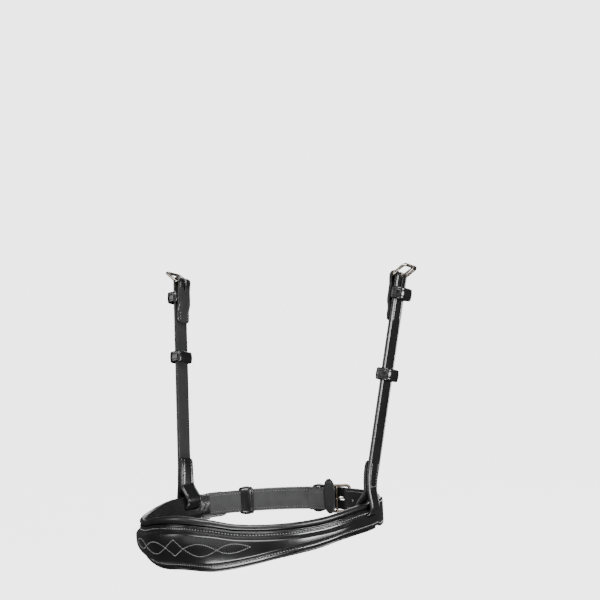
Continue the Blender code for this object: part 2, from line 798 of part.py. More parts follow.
def chin_frame_ways():
    """Middle of the strap bar, and the frame's reach, outward and across directions."""
    point, outward, forward = seam(CHIN_BAR_AT)
    heel = place_chin(CHIN_BAR_AT, CHIN_BAR_OUT, 0)
    onward = -forward
    reach_way = onward * cos(CHIN_TILT) + outward * sin(CHIN_TILT)
    out_way = outward * cos(CHIN_TILT) - onward * sin(CHIN_TILT)
    return heel, reach_way, out_way, Vector((0, 0, 1))


def make_billet(finish):
    """The near chin strap: under the tip bar, up through the frame and over the off strap."""
    girth = 2 * HALF_GIRTH
    bar_at = girth + CHIN_BAR_AT
    tip_bar = bar_at - CHIN_FRAME_REACH * cos(CHIN_TILT)
    rise_start = tip_bar + BILLET_RISE_AFTER_TIP_BAR
    rise_end = bar_at - CHIN_TONGUE_BAR_AT - BILLET_RISE_BEFORE_EYE
    over = CHIN_THICK / 2 + GAP
    end = girth + CHIN_SLIDER_MIDDLE + CHIN_SLIDER_LENGTH / 2 + BILLET_TIP_PAST_SLIDER
    path = [(CHIN_START, CHIN_OUT)]
    path += run((CHIN_START, CHIN_OUT), (rise_start, CHIN_OUT), PATH_STEP) + [(rise_start, CHIN_OUT)]
    path += sway((rise_start, CHIN_OUT), (rise_end, over), 8) + [(rise_end, over)]
    tip_start = end - BILLET_TIP
    path += run((rise_end, over), (tip_start, over), PATH_STEP) + [(tip_start, over)]
    path += [(end - BILLET_TIP * share, over) for share in (0.55, 0.3, 0.12, 0.0)]
    made = strap("chin_billet", place_chin, path, CHIN_WIDTH, CHIN_THICK, finish, tip=BILLET_TIP)

    hole_at = (rise_start + rise_end) / 2 + TONGUE_HOLE_PAST_MIDDLE
    cut_oval(made, hole_at, CHIN_MIDDLE_Z, BILLET_HOLE_LENGTH, BILLET_HOLE_WIDTH)
    for number in BILLET_HOLES:
        cut_oval(made, hole_at + BILLET_HOLE_PITCH * number, CHIN_MIDDLE_Z, BILLET_HOLE_SIZE, BILLET_HOLE_WIDTH)


def make_chin_buckle(metal):
    """Frame with a strap bar, a tongue bar and a tip bar, and its tongue."""
    heel, reach_way, out_way, across = chin_frame_ways()
    width = CHIN_WIDTH + 2 * CHIN_FRAME_SIDE_CLEAR
    frame = buckle_frame("chin_buckle_frame", heel, reach_way, across, CHIN_FRAME_REACH, width, metal["frame"])
    bar_at = heel + reach_way * CHIN_TONGUE_BAR_AT - out_way * CHIN_TONGUE_BAR_DROP
    half = across * (width / 2 + 0.5 * WIRE)
    combine(frame, bar("tongue_bar_guide", bar_at - half, bar_at + half, CHIN_BAR_WIRE, None), "UNION")
    buckle_tongue(
        "chin_buckle_tongue", bar_at, (reach_way, out_way, across), CHIN_BAR_WIRE, CHIN_TONGUE_WIRE,
        CHIN_FRAME_REACH - CHIN_TONGUE_BAR_AT, CHIN_TONGUE_BAR_DROP, metal["tongue"],
    )


def make_chin_keepers(leather):
    inside = CHIN_WIDTH + 2 * KEEPER_CLEAR
    low = CHIN_OUT - CHIN_THICK / 2 - KEEPER_CLEAR
    high = GAP + CHIN_THICK + KEEPER_CLEAR
    for name, spot, length in (
        ("chin_fixed_keeper", CHIN_FIXED_AT, CHIN_FIXED_KEEPER_LENGTH),
        ("chin_sliding_keeper", CHIN_SLIDER_MIDDLE, CHIN_SLIDER_LENGTH),
    ):
        keeper(
            name, place_chin, spot, length, low, high, inside, KEEPER_WALL, leather["keeper"],
            place_chin(spot, 0, 0),
        )


def make_guard(finish):
    """A round-ended flap of leather behind the buckle, which keeps it off the jaw."""
    middle = CHIN_BAR_AT - GUARD_PAST_BAR
    out = CHIN_BAR_OUT - CHIN_PLY - CHIN_THICK / 2 - GAP - GUARD_THICK / 2
    rings = []
    steps = 16
    for step in range(steps + 1):
        share = -1 + 2 * step / steps
        height = GUARD_RISE + share * GUARD_HEIGHT / 2
        half = GUARD_WIDTH / 2 * max((1 - abs(share) ** 3) ** 0.5, 0.2)
        thick = GUARD_THICK * (1 - 0.4 * abs(share) ** 6)
        rings.append([
            place_chin(middle + along, out + deep, height)
            for along, deep in (
                (-half, thick * 0.25), (-half * 0.85, thick / 2), (half * 0.85, thick / 2),
                (half, thick * 0.25), (half, -thick * 0.25), (half * 0.85, -thick / 2),
                (-half * 0.85, -thick / 2), (-half, -thick * 0.25),
            )
        ])
    return loft("chin_buckle_guard", rings, finish)


def main():
    for old in list(bpy.data.objects):
        bpy.data.objects.remove(old, do_unlink=True)
    leather = {
        "facing": material("facing_leather", (0.012, 0.012, 0.013), 0.34, 0),
        "lining": material("lining_leather", (0.018, 0.018, 0.019), 0.42, 0),
        "filler": material("filler_core", (0.10, 0.09, 0.08), 0.8, 0),
        "strap": material("strap_leather", (0.014, 0.014, 0.015), 0.38, 0),
        "keeper": material("keeper_leather", (0.010, 0.010, 0.011), 0.36, 0),
    }
    metal = {
        "frame": material("buckle_steel", (0.62, 0.61, 0.59), 0.22, 1),
        "tongue": material("tongue_steel", (0.66, 0.65, 0.62), 0.25, 1),
    }
    lining = make_lining(leather["lining"])
    facing = make_facing(leather["facing"])
    make_filler(leather["filler"])
    for side in (1, -1):
        cut_slot(lining, side)
        cut_slot(facing, side)
    make_cheek(1, "near", NEAR_BAR_AT, NEAR_SLIDER_AT, leather, metal)
    make_cheek(-1, "off", OFF_BAR_AT, OFF_SLIDER_AT, leather, metal)
    make_buckle_strap(leather["strap"])
    make_billet(leather["strap"])
    make_chin_buckle(metal)
    make_chin_keepers(leather)
    make_guard(leather["keeper"])


main()
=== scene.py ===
"""The look of the noseband: padded black leather, grey stitching and steel buckles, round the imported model.

Metres, +Z up. The nose is at -Y, the chin at +Y, +X is near and -X is off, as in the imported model.
"""

from math import asin, atan2, ceil, cos, exp, hypot, pi, radians, sin, sqrt

import bmesh
import bpy
from mathutils import Matrix, Vector, noise


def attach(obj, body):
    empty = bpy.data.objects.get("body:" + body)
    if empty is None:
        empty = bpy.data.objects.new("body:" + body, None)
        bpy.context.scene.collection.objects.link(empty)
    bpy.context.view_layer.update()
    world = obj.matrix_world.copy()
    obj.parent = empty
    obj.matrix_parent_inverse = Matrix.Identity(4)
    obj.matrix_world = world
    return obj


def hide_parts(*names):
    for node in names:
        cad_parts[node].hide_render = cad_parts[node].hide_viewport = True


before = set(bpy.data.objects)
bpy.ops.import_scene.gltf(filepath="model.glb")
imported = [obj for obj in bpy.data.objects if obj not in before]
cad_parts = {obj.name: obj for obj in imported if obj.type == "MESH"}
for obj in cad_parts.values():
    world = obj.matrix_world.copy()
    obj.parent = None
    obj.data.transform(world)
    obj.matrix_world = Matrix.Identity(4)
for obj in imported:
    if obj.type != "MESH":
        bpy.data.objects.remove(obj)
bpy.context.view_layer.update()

MM = 0.001
UP = Vector((0, 0, 1))

# Camera at the photograph's angle
CAMERA_TURN = radians(34.98)
CAMERA_ROLL = radians(2.96)
CAMERA_AWAY = 1390.4 * MM
CAMERA_HEIGHT = 170.3 * MM
CAMERA_RIGHT = 43.7 * MM
CAMERA_LENS = 98.15

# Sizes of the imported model, repeated
BAND_LENGTH = 218 * MM
NOSE_RADIUS = 75 * MM
NOSE_TURN = radians(30)
CHIN_TURN = radians(70)
BAND_STATIONS = [[part * MM for part in station] for station in (
    (0, 3.8, 44.2),
    (28, 0.8, 42.0),
    (50, -3.5, 35.2),
    (85, -5.4, 27.2),
    (118, -4.6, 24.0),
    (140, -2.5, 22.8),
    (160, -0.4, 23.4),
    (190, 0.3, 23.6),
    (212, 0.6, 23.2),
)]
NOSE_TUCK = 6.0 * MM
NOSE_TUCK_SPREAD = 110 * MM
GAP = 0.3 * MM
PAD_NOSE = 5.6 * MM
PAD_SIDE = 4.6 * MM
PAD_FULL_TO = 60 * MM
TOP_ROLL = 2.4 * MM
BOTTOM_ROLL = 1.15 * MM
NOSE_ROLL_EXTRA = 0.8 * MM
NOSE_ROLL_SPREAD = 60 * MM
TOP_ROLL_BACK = 0.6 * MM
BOTTOM_ROLL_BACK = 0.5 * MM
TOP_SHOULDER = 7.5 * MM
BOTTOM_SHOULDER = 5.0 * MM
SHOULDER_SHARE = 0.86
LINING_END = 204 * MM
LINING_SKIN = 1.8 * MM
FACING_THICK = 1.8 * MM
FACING_TOP_MARGIN = 4.7 * MM
FACING_BOTTOM_MARGIN = 3.0 * MM
FACING_END = 228 * MM
FACING_TIP = 10 * MM
FACING_TIP_LEAST = 0.05
FACING_WIDENS_OVER = 10 * MM
RIDGE_RUN = 3.0 * MM
RIDGE_MOST = 0.42
RIDGE_INSIDE_INSET = 0.6 * MM
RAISE = 3.2 * MM
CROWN = 0.5 * MM
NOSE_CROWN = 1.0 * MM
NOSE_CROWN_SPREAD = 40 * MM
RAISE_FULL_TO = 140 * MM
RAISE_END = 168 * MM
SLOT_AT = 183 * MM
SLOT_BELOW_TOP = 9.5 * MM
SLOT_CLEAR_END = 1.4 * MM
CHEEK_WIDTH = 16 * MM
CHEEK_THICK = 2.6 * MM
LOOP_CLEAR = 0.6 * MM
LOOP_CLOSE = 12 * MM
STANDS_OUT = 3.3 * MM
LAP_TOP = 34 * MM
BAR_AT = {"near": 189.5 * MM, "off": 196 * MM}
TURN_BACK = 38 * MM
BEND_START = 6 * MM
BEND_END = 30 * MM
CHEEK_HEADING = radians(91)
LEAN_OUT = 0.121
LEAN_REAR = 0.184
CREW_DEPTH = 8.3 * MM
KEEPER_WALL = 1.4 * MM
KEEPER_LENGTH = 10 * MM
KEEPER_CLEAR = 0.4 * MM
KEEPER_CORNER = 1.6 * MM
PLY_SETTLE = 9 * MM
FIXED_KEEPER_ROOM = 6.0 * MM
SLIDER_ROOM = 4.6 * MM
SLIDER_SLACK = 2.6 * MM
FIXED_KEEPER_BELOW_BAR = 14.5 * MM
SLIDER_AT = {"near": 106.6 * MM, "off": 126 * MM}
WIRE = 1.25 * MM
CHEEK_FRAME_REACH = 14 * MM
CHEEK_FRAME_SIDE_CLEAR = 0.6 * MM
CHEEK_FRAME_TILT = radians(48)
FRAME_CORNER = 3.0 * MM
TONGUE_WIRE = 1.0 * MM
TONGUE_TIP_WIRE = 0.7 * MM
TONGUE_CLEAR = 0.2 * MM
TONGUE_PAST_BAR = 2.5 * MM
TONGUE_CURL = radians(250)
CHIN_WIDTH = 20 * MM
CHIN_THICK = 2.8 * MM
CHIN_TOP = 0.1 * MM
CHIN_START = 196 * MM
CHIN_BAR_PAST_MIDDLE = 0.8 * MM
CHIN_TURN_BACK = 21 * MM
BILLET_TIP_PAST_SLIDER = 6 * MM
BILLET_TIP = 9 * MM
BILLET_HOLE_LENGTH = 10.4 * MM
BILLET_HOLE_WIDTH = 3.4 * MM
BILLET_HOLE_PITCH = 18 * MM
BILLET_HOLE_SIZE = 3.6 * MM
BILLET_HOLES = (-2, -1, 2, 3)
BILLET_RISE_AFTER_TIP_BAR = 1.5 * MM
BILLET_RISE_BEFORE_EYE = 0.5 * MM
TONGUE_HOLE_PAST_MIDDLE = 1.2 * MM
CHIN_FIXED_KEEPER_BEFORE_BAR = 13.5 * MM
CHIN_FIXED_KEEPER_LENGTH = 9 * MM
CHIN_SLIDER_BEFORE_BAR = 81.5 * MM
CHIN_SLIDER_LENGTH = 12 * MM
CHIN_BAR_WIRE = 1.1 * MM
CHIN_TONGUE_BAR_DROP = 1.0 * MM
CHIN_TONGUE_WIRE = 0.85 * MM
CHIN_FRAME_REACH = 20 * MM
CHIN_FRAME_SIDE_CLEAR = 0.4 * MM
GUARD_HEIGHT = 31.5 * MM
GUARD_WIDTH = 14.5 * MM
GUARD_THICK = 2.4 * MM
GUARD_PAST_BAR = 5.5 * MM
GUARD_RISE = 3.0 * MM
CHIN_MIDDLE_Z = CHIN_TOP - CHIN_WIDTH / 2

# Detail that only the look has
BAND_STEP = 1.1 * MM
STRAP_STEP = 1.5 * MM
THREAD = 0.33 * MM
STITCH_PITCH = 2.4 * MM
STITCH_LENGTH = 1.2 * MM
FANCY_PITCH = 1.6 * MM
FANCY_LENGTH = 1.5 * MM
FANCY_THREAD = 0.27 * MM
CHANNEL_DEPTH = 0.40 * MM
CHANNEL_WIDTH = 0.55 * MM
CREASE_DEPTH = 0.22 * MM
CREASE_WIDTH = 0.22 * MM
FACING_EDGE = 0.5 * MM
TOP_STITCH_IN = 2.9 * MM
BOTTOM_STITCH_IN = 2.4 * MM
STRAP_ROUND = 0.75 * MM
END_ROUND = 2.0 * MM
CHEEK_CREASE_IN = 1.5 * MM
CHEEK_STITCH_IN = 3.2 * MM
CHIN_CREASE_IN = 1.3 * MM
CHIN_STITCH_IN = 2.6 * MM
KEEPER_EDGE = KEEPER_WALL * 0.42
KEEPER_CROWN = 0.8 * MM
FOLD_SHOWS = 5 * MM
MARGIN_CURL = 0.45 * MM
CURL_RUN = 2.4 * MM
TOP_MARGIN_LEAN = 0.3 * MM
BOTTOM_MARGIN_LEAN = 0.7 * MM
ROOMY_CORNER = 3.4 * MM
FLAT_CROWN = 0.4 * MM
TOP_ROLL_FROM = -70
BOTTOM_ROLL_FROM = 205
ROLL_TURN = 225
GATHER_AT = 197 * MM
GATHER_SPREAD = 6 * MM
GATHER_PITCH = 0.8 * MM
GATHER_DEPTH = 0.30 * MM
LINING_WAVE = 0.12 * MM
FACING_WAVE = 0.16 * MM
FACING_RIPPLE = 0.02 * MM
STRAP_WAVE = 0.04 * MM
KEEPER_WAVE = 0.05 * MM
RIM_CREASE_IN = 1.1 * MM
BAND_STITCH_SLANT = 0.35
BAND_STITCH_END = 3.4 * MM
CHEEK_CROWN = 0.12 * MM
SKIVED_END = 5 * MM
TIP_BAR_STOUTER = 0.12
CUT_REACH = 15 * MM
CHEEK_SIZES = (CHEEK_WIDTH, CHEEK_THICK, CHEEK_CREASE_IN, CHEEK_STITCH_IN)
CHIN_SIZES = (CHIN_WIDTH, CHIN_THICK, CHIN_CREASE_IN, CHIN_STITCH_IN)


# Curves and placing


def oval_arcs():
    """The half oval as (radius, heading at its start, turn): nose, side and chin."""
    side_end = pi - CHIN_TURN
    side_x = sin(side_end) - sin(NOSE_TURN)
    side_y = cos(NOSE_TURN) - cos(side_end)
    chin_x = -sin(side_end)
    chin_y = 1 + cos(side_end)
    need_x = -NOSE_RADIUS * sin(NOSE_TURN)
    need_y = BAND_LENGTH - NOSE_RADIUS * (1 - cos(NOSE_TURN))
    scale = side_x * chin_y - chin_x * side_y
    side_radius = (need_x * chin_y - chin_x * need_y) / scale
    chin_radius = (side_x * need_y - need_x * side_y) / scale
    return (
        (NOSE_RADIUS, 0.0, NOSE_TURN),
        (side_radius, NOSE_TURN, side_end - NOSE_TURN),
        (chin_radius, side_end, CHIN_TURN),
    )


ARCS = oval_arcs()
HALF_GIRTH = sum(radius * turn for radius, start, turn in ARCS)


def seam(along):
    """Point, outward direction and forward direction of the seam, along metres from the nose."""
    along = (along + HALF_GIRTH) % (2 * HALF_GIRTH) - HALF_GIRTH
    side = 1 if along >= 0 else -1
    left = abs(along)
    x, y = 0.0, -BAND_LENGTH / 2
    for radius, start, turn in ARCS:
        part = min(left / radius, turn)
        heading = start + part
        x += radius * (sin(heading) - sin(start))
        y += radius * (cos(start) - cos(heading))
        left -= part * radius
        if left <= 1e-9:
            break
    out = Vector((side * sin(heading), -cos(heading), 0))
    forward = Vector((cos(heading), side * sin(heading), 0))
    return Vector((side * x, y, 0)), out, forward


def place_chin(along, out, across):
    """A point of the chin straps: along the seam, out from it, across from their middle line."""
    point, outward, forward = seam(along)
    return point + outward * out + UP * (CHIN_MIDDLE_Z + across)


def ease(value, low, high):
    """0 below low, 1 above high, and a smooth change between."""
    part = min(max((value - low) / (high - low), 0.0), 1.0)
    return part * part * (3 - 2 * part)


def station_value(along, column):
    """A band station's value by a smooth curve through the stations, the same on both sides."""
    spots = [-BAND_STATIONS[1][0]] + [station[0] for station in BAND_STATIONS]
    values = [BAND_STATIONS[1][column]] + [station[column] for station in BAND_STATIONS]
    last = len(spots) - 2
    index = next((number for number in range(1, last) if abs(along) <= spots[number + 1]), last)
    ahead = min(index + 2, last + 1)
    span = spots[index + 1] - spots[index]
    part = min((abs(along) - spots[index]) / span, 1.0)
    slope_low = (values[index + 1] - values[index - 1]) / (spots[index + 1] - spots[index - 1])
    slope_high = (values[ahead] - values[index]) / (spots[ahead] - spots[index])
    square, cube = part * part, part * part * part
    return (
        (2 * cube - 3 * square + 1) * values[index]
        + (cube - 2 * square + part) * span * slope_low
        + (3 * square - 2 * cube) * values[index + 1]
        + (cube - square) * span * slope_high
    )


def band_top(along):
    return station_value(along, 1)


def band_bottom(along):
    return station_value(along, 1) - station_value(along, 2)


def place_band(along, out, height):
    """A point of the band: along the seam, out from it, at a height; low points tuck in at the nose."""
    point, outward, forward = seam(along)
    low = max((band_top(along) - height) / (band_top(along) - band_bottom(along)), 0)
    tuck = NOSE_TUCK * low * low * (1 - ease(abs(along), 0, NOSE_TUCK_SPREAD))
    return point + outward * (out - tuck) + UP * height


def go(path, end, steps=0):
    """Lengthen a strap's path to end: straight, or with a gentle sidestep in the given steps."""
    start = path[-1]
    count = steps or max(1, ceil(abs(end[0] - start[0]) / STRAP_STEP))
    for step in range(1, count):
        share = (1 - cos(pi * step / count)) / 2 if steps else step / count
        path.append((start[0] + (end[0] - start[0]) * step / count, start[1] + (end[1] - start[1]) * share))
    path.append(end)


def bend(path, centre, radius, start, turn, steps):
    """Lengthen a path round an arc; angle 0 points along, and pi / 2 points out."""
    for step in range(1, steps + 1):
        angle = start + turn * step / steps
        path.append((centre[0] + radius * cos(angle), centre[1] + radius * sin(angle)))


def circle(centre, side, other, radius, count):
    """A ring of points round a centre, from side towards other."""
    turns = [2 * pi * turn / count for turn in range(count)]
    return [centre + (side * cos(turn) + other * sin(turn)) * radius for turn in turns]


def top_roll_at(along):
    return TOP_ROLL + NOSE_ROLL_EXTRA * (1 - ease(abs(along), 0, NOSE_ROLL_SPREAD))


def raise_at(along):
    return 1 - ease(abs(along), RAISE_FULL_TO, RAISE_END)


def crown_at(along):
    return (CROWN + NOSE_CROWN * (1 - ease(abs(along), 0, 2 * NOSE_CROWN_SPREAD))) * raise_at(along)


def pad_at(along):
    return PAD_SIDE + (PAD_NOSE - PAD_SIDE) * (1 - ease(abs(along), PAD_FULL_TO, RAISE_FULL_TO))


# The slots and the cheek straps' loops through them

SLOT_MIDDLE_Z = band_top(SLOT_AT) - SLOT_BELOW_TOP
BRIDGE_OUT = (GAP + FACING_THICK - pad_at(SLOT_AT)) / 2
BRIDGE_HALF_THICK = (GAP + FACING_THICK + pad_at(SLOT_AT)) / 2


def loop_sizes():
    """Bridge's middle height, loop's inside radius and slot's height, which depend on each other."""
    slot = CHEEK_THICK + 2 * LOOP_CLEAR
    for repeat in range(20):
        bridge = band_top(SLOT_AT) - (SLOT_MIDDLE_Z + slot / 2)
        radius = hypot(BRIDGE_HALF_THICK, bridge / 2) + GAP
        slot = 2 * (radius + CHEEK_THICK + LOOP_CLEAR / 2 + bridge / 2 - SLOT_BELOW_TOP)
    return band_top(SLOT_AT) - bridge / 2, radius, slot


BRIDGE_Z, LOOP_RADIUS, SLOT_HEIGHT = loop_sizes()
LAP_OUT = -(CHEEK_THICK + GAP)
LOOP_OUT = LAP_OUT / 2 - STANDS_OUT
LOOP_PLY = LOOP_RADIUS + CHEEK_THICK / 2
BAR_PLY = WIRE + GAP + CHEEK_THICK / 2
KEEPER_PLY_OUT = -(CHEEK_THICK + KEEPER_WALL + KEEPER_CLEAR + GAP)


def cheek_ways(along):
    """Outward, rearward and upward directions of the near cheek strap: upright at its slot, then leaning."""
    share = ease(along, BEND_START, BEND_END)
    forward = seam(SLOT_AT)[2]
    slot_heading = atan2(forward.y, forward.x)
    heading = slot_heading + (CHEEK_HEADING - slot_heading) * share
    outward = Vector((sin(heading), -cos(heading), 0))
    rearward = Vector((cos(heading), sin(heading), 0))
    up = (UP + outward * LEAN_OUT * share + rearward * LEAN_REAR * share).normalized()
    outward = (outward - up * outward.dot(up)).normalized()
    return outward, up.cross(outward), up


def bend_marks():
    """Points of the near cheek strap's middle line, evenly along its bend."""
    point, outward, forward = seam(SLOT_AT)
    marks = [point + outward * (BRIDGE_OUT - LOOP_OUT) + UP * BEND_START]
    for step in range(BEND_STEPS):
        marks.append(marks[-1] + cheek_ways(BEND_START + BEND_SPAN * (step + 0.5))[2] * BEND_SPAN)
    return marks


BEND_STEPS = 24
BEND_SPAN = (BEND_END - BEND_START) / BEND_STEPS
BEND_MARKS = bend_marks()


def mirrored(point, side):
    return Vector((side * point.x, point.y, point.z))


def cheek_place(side):
    """Placing on one cheek strap; side is 1 for near and -1 for off."""
    def place(along, out, across):
        outward, rearward, up = cheek_ways(along)
        bent = min(max(along, BEND_START), BEND_END)
        step = (bent - BEND_START) / BEND_SPAN
        index = min(int(step), BEND_STEPS - 1)
        middle = BEND_MARKS[index].lerp(BEND_MARKS[index + 1], step - index) + up * (along - bent)
        return mirrored(middle + outward * out + rearward * across, side)
    return place


# Materials


def set_sockets(tree, node, values):
    """Set a node's sockets, by name or number, to fixed values or to links from other nodes."""
    for name, value in values.items():
        if isinstance(value, bpy.types.NodeSocket):
            tree.links.new(value, node.inputs[name])
        else:
            node.inputs[name].default_value = value


def add_node(tree, kind, values):
    made = tree.nodes.new("ShaderNode" + kind)
    set_sockets(tree, made, values)
    return made


def noise_value(tree, vector, scale, detail, roughness):
    values = {"Vector": vector, "Scale": scale, "Detail": detail, "Roughness": roughness}
    return add_node(tree, "TexNoise", values).outputs["Fac"]


def remap(tree, value, low, high, to_low=0.0, to_high=1.0):
    values = {"Value": value, "From Min": low, "From Max": high, "To Min": to_low, "To Max": to_high}
    return add_node(tree, "MapRange", values).outputs["Result"]


def mix_colour(tree, factor, first, second):
    """A blend of two colours; each is a fixed colour or a socket."""
    made = tree.nodes.new("ShaderNodeMix")
    made.data_type = "RGBA"
    first, second = [(*part, 1) if isinstance(part, tuple) else part for part in (first, second)]
    set_sockets(tree, made, {0: factor, 6: first, 7: second})
    return made.outputs[2]


def bump(tree, height, strength, distance, **more):
    values = {"Height": height, "Strength": strength, "Distance": distance, **more}
    return add_node(tree, "Bump", values).outputs["Normal"]


def new_material(name, stretch=(1, 1, 1)):
    """A material, its tree, its shader and coordinates in metres, stretched along the axes."""
    made = bpy.data.materials.new(name)
    made.use_nodes = True
    tree = made.node_tree
    place = tree.nodes.new("ShaderNodeTexCoord").outputs["Object"]
    mapping = add_node(tree, "Mapping", {"Vector": place, "Scale": stretch})
    return made, tree, tree.nodes["Principled BSDF"], mapping.outputs["Vector"]


def leather(name, dark, light, roughness, grain, coat):
    """Dyed leather: fine pores, soft creases, waxed patches and edges rubbed lighter."""
    made, tree, shader, vector = new_material(name)
    patch = noise_value(tree, vector, 38, 4, 0.55)
    fine = noise_value(tree, vector, 420, 3, 0.6)
    folds = noise_value(tree, vector, 150, 2.5, 0.5)
    pores = add_node(tree, "TexVoronoi", {"Vector": vector, "Scale": 1150})
    pores.feature = "DISTANCE_TO_EDGE"
    edge = tree.nodes.new("ShaderNodeNewGeometry").outputs["Pointiness"]
    rubbed = tuple(min(part * 3.2 + 0.012, 1) for part in light)
    tone = mix_colour(tree, remap(tree, patch, 0.35, 0.7), dark, light)
    pitted = bump(tree, remap(tree, pores.outputs["Distance"], 0.0, 0.12), grain, 0.00001)
    shine = add_node(tree, "Math", {
        0: remap(tree, patch, 0.3, 0.7, roughness - 0.03, roughness + 0.04),
        1: remap(tree, fine, 0.3, 0.7, -0.01, 0.015),
    })
    set_sockets(tree, shader, {
        "Base Color": mix_colour(tree, remap(tree, edge, 0.53, 0.60, 0.0, 0.2), tone, rubbed),
        "Roughness": shine.outputs[0],
        "Normal": bump(tree, folds, grain, 0.00012, Normal=pitted),
        "Coat Weight": coat,
        "Coat Roughness": 0.28,
        "Specular IOR Level": 0.5,
    })
    return made


def flesh_leather(name, dark, light):
    """The back of black leather: short nap, matte, with faint fibres."""
    made, tree, shader, vector = new_material(name)
    patch = noise_value(tree, vector, 70, 5, 0.6)
    nap = noise_value(tree, vector, 1600, 4, 0.7)
    set_sockets(tree, shader, {
        "Base Color": mix_colour(tree, remap(tree, patch, 0.3, 0.7), dark, light),
        "Roughness": remap(tree, nap, 0.3, 0.7, 0.5, 0.7),
        "Normal": bump(tree, nap, 0.5, 0.00012),
        "Sheen Weight": 0.05,
        "Sheen Roughness": 0.5,
        "Specular IOR Level": 0.25,
    })
    return made


def thread_material(name, dark, light):
    """Waxed linen thread: twisted strands in a slightly uneven grey."""
    made, tree, shader, vector = new_material(name)
    strand = noise_value(tree, vector, 2600, 2, 0.6)
    patch = noise_value(tree, vector, 90, 3, 0.5)
    set_sockets(tree, shader, {
        "Base Color": mix_colour(tree, remap(tree, patch, 0.3, 0.7), dark, light),
        "Normal": bump(tree, strand, 0.6, 0.0001),
        "Roughness": 0.42,
        "Sheen Weight": 0.2,
    })
    return made


def steel(name, colour, roughness):
    """Polished steel with faint drawing marks and a warm cast."""
    made, tree, shader, vector = new_material(name, (1, 1, 6))
    marks = noise_value(tree, vector, 900, 4, 0.6)
    patch = noise_value(tree, vector, 160, 3, 0.5)
    warm = (colour[0], colour[1] * 0.94, colour[2] * 0.86)
    set_sockets(tree, shader, {
        "Base Color": mix_colour(tree, remap(tree, patch, 0.35, 0.65), colour, warm),
        "Roughness": remap(tree, patch, 0.3, 0.7, roughness, roughness + 0.10),
        "Normal": bump(tree, marks, 0.25, 0.00004),
        "Metallic": 1.0,
    })
    return made


def paper(name, light, glow):
    """The studio's pale, slightly uneven floor."""
    made, tree, shader, vector = new_material(name)
    patch = noise_value(tree, vector, 3, 2, 0.5)
    set_sockets(tree, shader, {
        "Base Color": mix_colour(tree, patch, (light * 0.985,) * 3, (light,) * 3),
        "Roughness": 0.9,
        "Specular IOR Level": 0.1,
        "Emission Color": (1, 1, 1, 1),
        "Emission Strength": glow,
    })
    return made


BLACK = (0.003, 0.003, 0.0032)
WORN_BLACK = (0.006, 0.006, 0.0063)
MATERIALS = {
    "facing": leather("facing_calf", BLACK, WORN_BLACK, 0.25, 0.25, 0.45),
    "lining": leather("lining_calf", (0.0045, 0.0045, 0.0047), (0.009, 0.009, 0.0093), 0.34, 0.4, 0.2),
    "strap": leather("strap_leather", BLACK, WORN_BLACK, 0.27, 0.22, 0.4),
    "keeper": leather("keeper_leather", BLACK, WORN_BLACK, 0.25, 0.2, 0.4),
    "guard": leather("guard_leather", (0.005, 0.005, 0.0053), (0.009, 0.009, 0.0094), 0.45, 0.4, 0.05),
    "flesh": flesh_leather("strap_back", (0.030, 0.030, 0.031), (0.049, 0.049, 0.050)),
    "cheek_flesh": flesh_leather("cheek_back", (0.008, 0.008, 0.0083), (0.014, 0.014, 0.0143)),
    "edge": leather("burnished_edge", (0.003, 0.003, 0.003), (0.006, 0.006, 0.006), 0.3, 0.2, 0.3),
    "thread": thread_material("grey_thread", (0.22, 0.22, 0.224), (0.34, 0.34, 0.345)),
    "fancy_thread": thread_material("fancy_thread", (0.10, 0.10, 0.103), (0.17, 0.17, 0.174)),
    "dark_thread": thread_material("dark_thread", (0.07, 0.07, 0.072), (0.14, 0.14, 0.143)),
    "steel": steel("buckle_steel", (0.36, 0.33, 0.30), 0.2),
    # The chin buckle takes a darker, browner copy of the same steel: painted shade and painted dark
    # reflection on its bars and tongue.
    "painted_shade_steel": steel("chin_buckle_painted_shade_steel", (0.20, 0.165, 0.14), 0.34),
}


# Meshes


def make_object(name, points, faces, finishes, smooth=50, choice=None):
    """A mesh object, smooth but for its sharp edges; finishes name materials, and choice is one per face."""
    mesh = bpy.data.meshes.new(name)
    mesh.from_pydata(points, [], faces)
    mesh.validate()
    shape = bmesh.new()
    shape.from_mesh(mesh)
    bmesh.ops.recalc_face_normals(shape, faces=shape.faces)
    if shape.calc_volume(signed=True) < 0:
        bmesh.ops.reverse_faces(shape, faces=shape.faces)
    shape.to_mesh(mesh)
    shape.free()
    mesh.shade_smooth()
    mesh.set_sharp_from_angle(angle=radians(smooth))
    made = bpy.data.objects.new(name, mesh)
    bpy.context.collection.objects.link(made)
    for finish in finishes:
        mesh.materials.append(MATERIALS[finish])
    if choice:
        mesh.polygons.foreach_set("material_index", choice)
    return made


def loft_faces(rows, count, closed, first=0):
    """Quads between rows of count points, with flat ends unless closed."""
    faces = []
    last = rows if closed else rows - 1
    for row in range(last):
        low, high = first + row * count, first + (row + 1) % rows * count
        for index in range(count):
            after = (index + 1) % count
            faces.append((low + index, low + after, high + after, high + index))
    if not closed:
        faces.append(tuple(first + index for index in range(count)))
        faces.append(tuple(first + (rows - 1) * count + index for index in range(count)))
    return faces


def loft(name, rings, *finishes, closed=False, smooth=50, choice=None):
    points = [point for ring in rings for point in ring]
    return make_object(name, points, loft_faces(len(rings), len(rings[0]), closed), finishes, smooth, choice)


def dress(piece, body, slot, *nodes):
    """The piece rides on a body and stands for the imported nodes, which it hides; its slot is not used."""
    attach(piece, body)
    if nodes:
        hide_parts(*nodes)


def smooth_line(points, steps):
    """A smooth curve through points, with steps places in each span."""
    line = []
    for span in range(len(points) - 1):
        four = [points[min(max(span + shift, 0), len(points) - 1)] for shift in (-1, 0, 1, 2)]
        for part in [step / steps for step in range(steps)]:
            line.append(tuple(
                0.5 * (
                    2 * b + (c - a) * part + (2 * a - 5 * b + 4 * c - d) * part ** 2
                    + (3 * b - a - 3 * c + d) * part ** 3
                )
                for a, b, c, d in zip(*four)
            ))
    return line + [tuple(points[-1])]


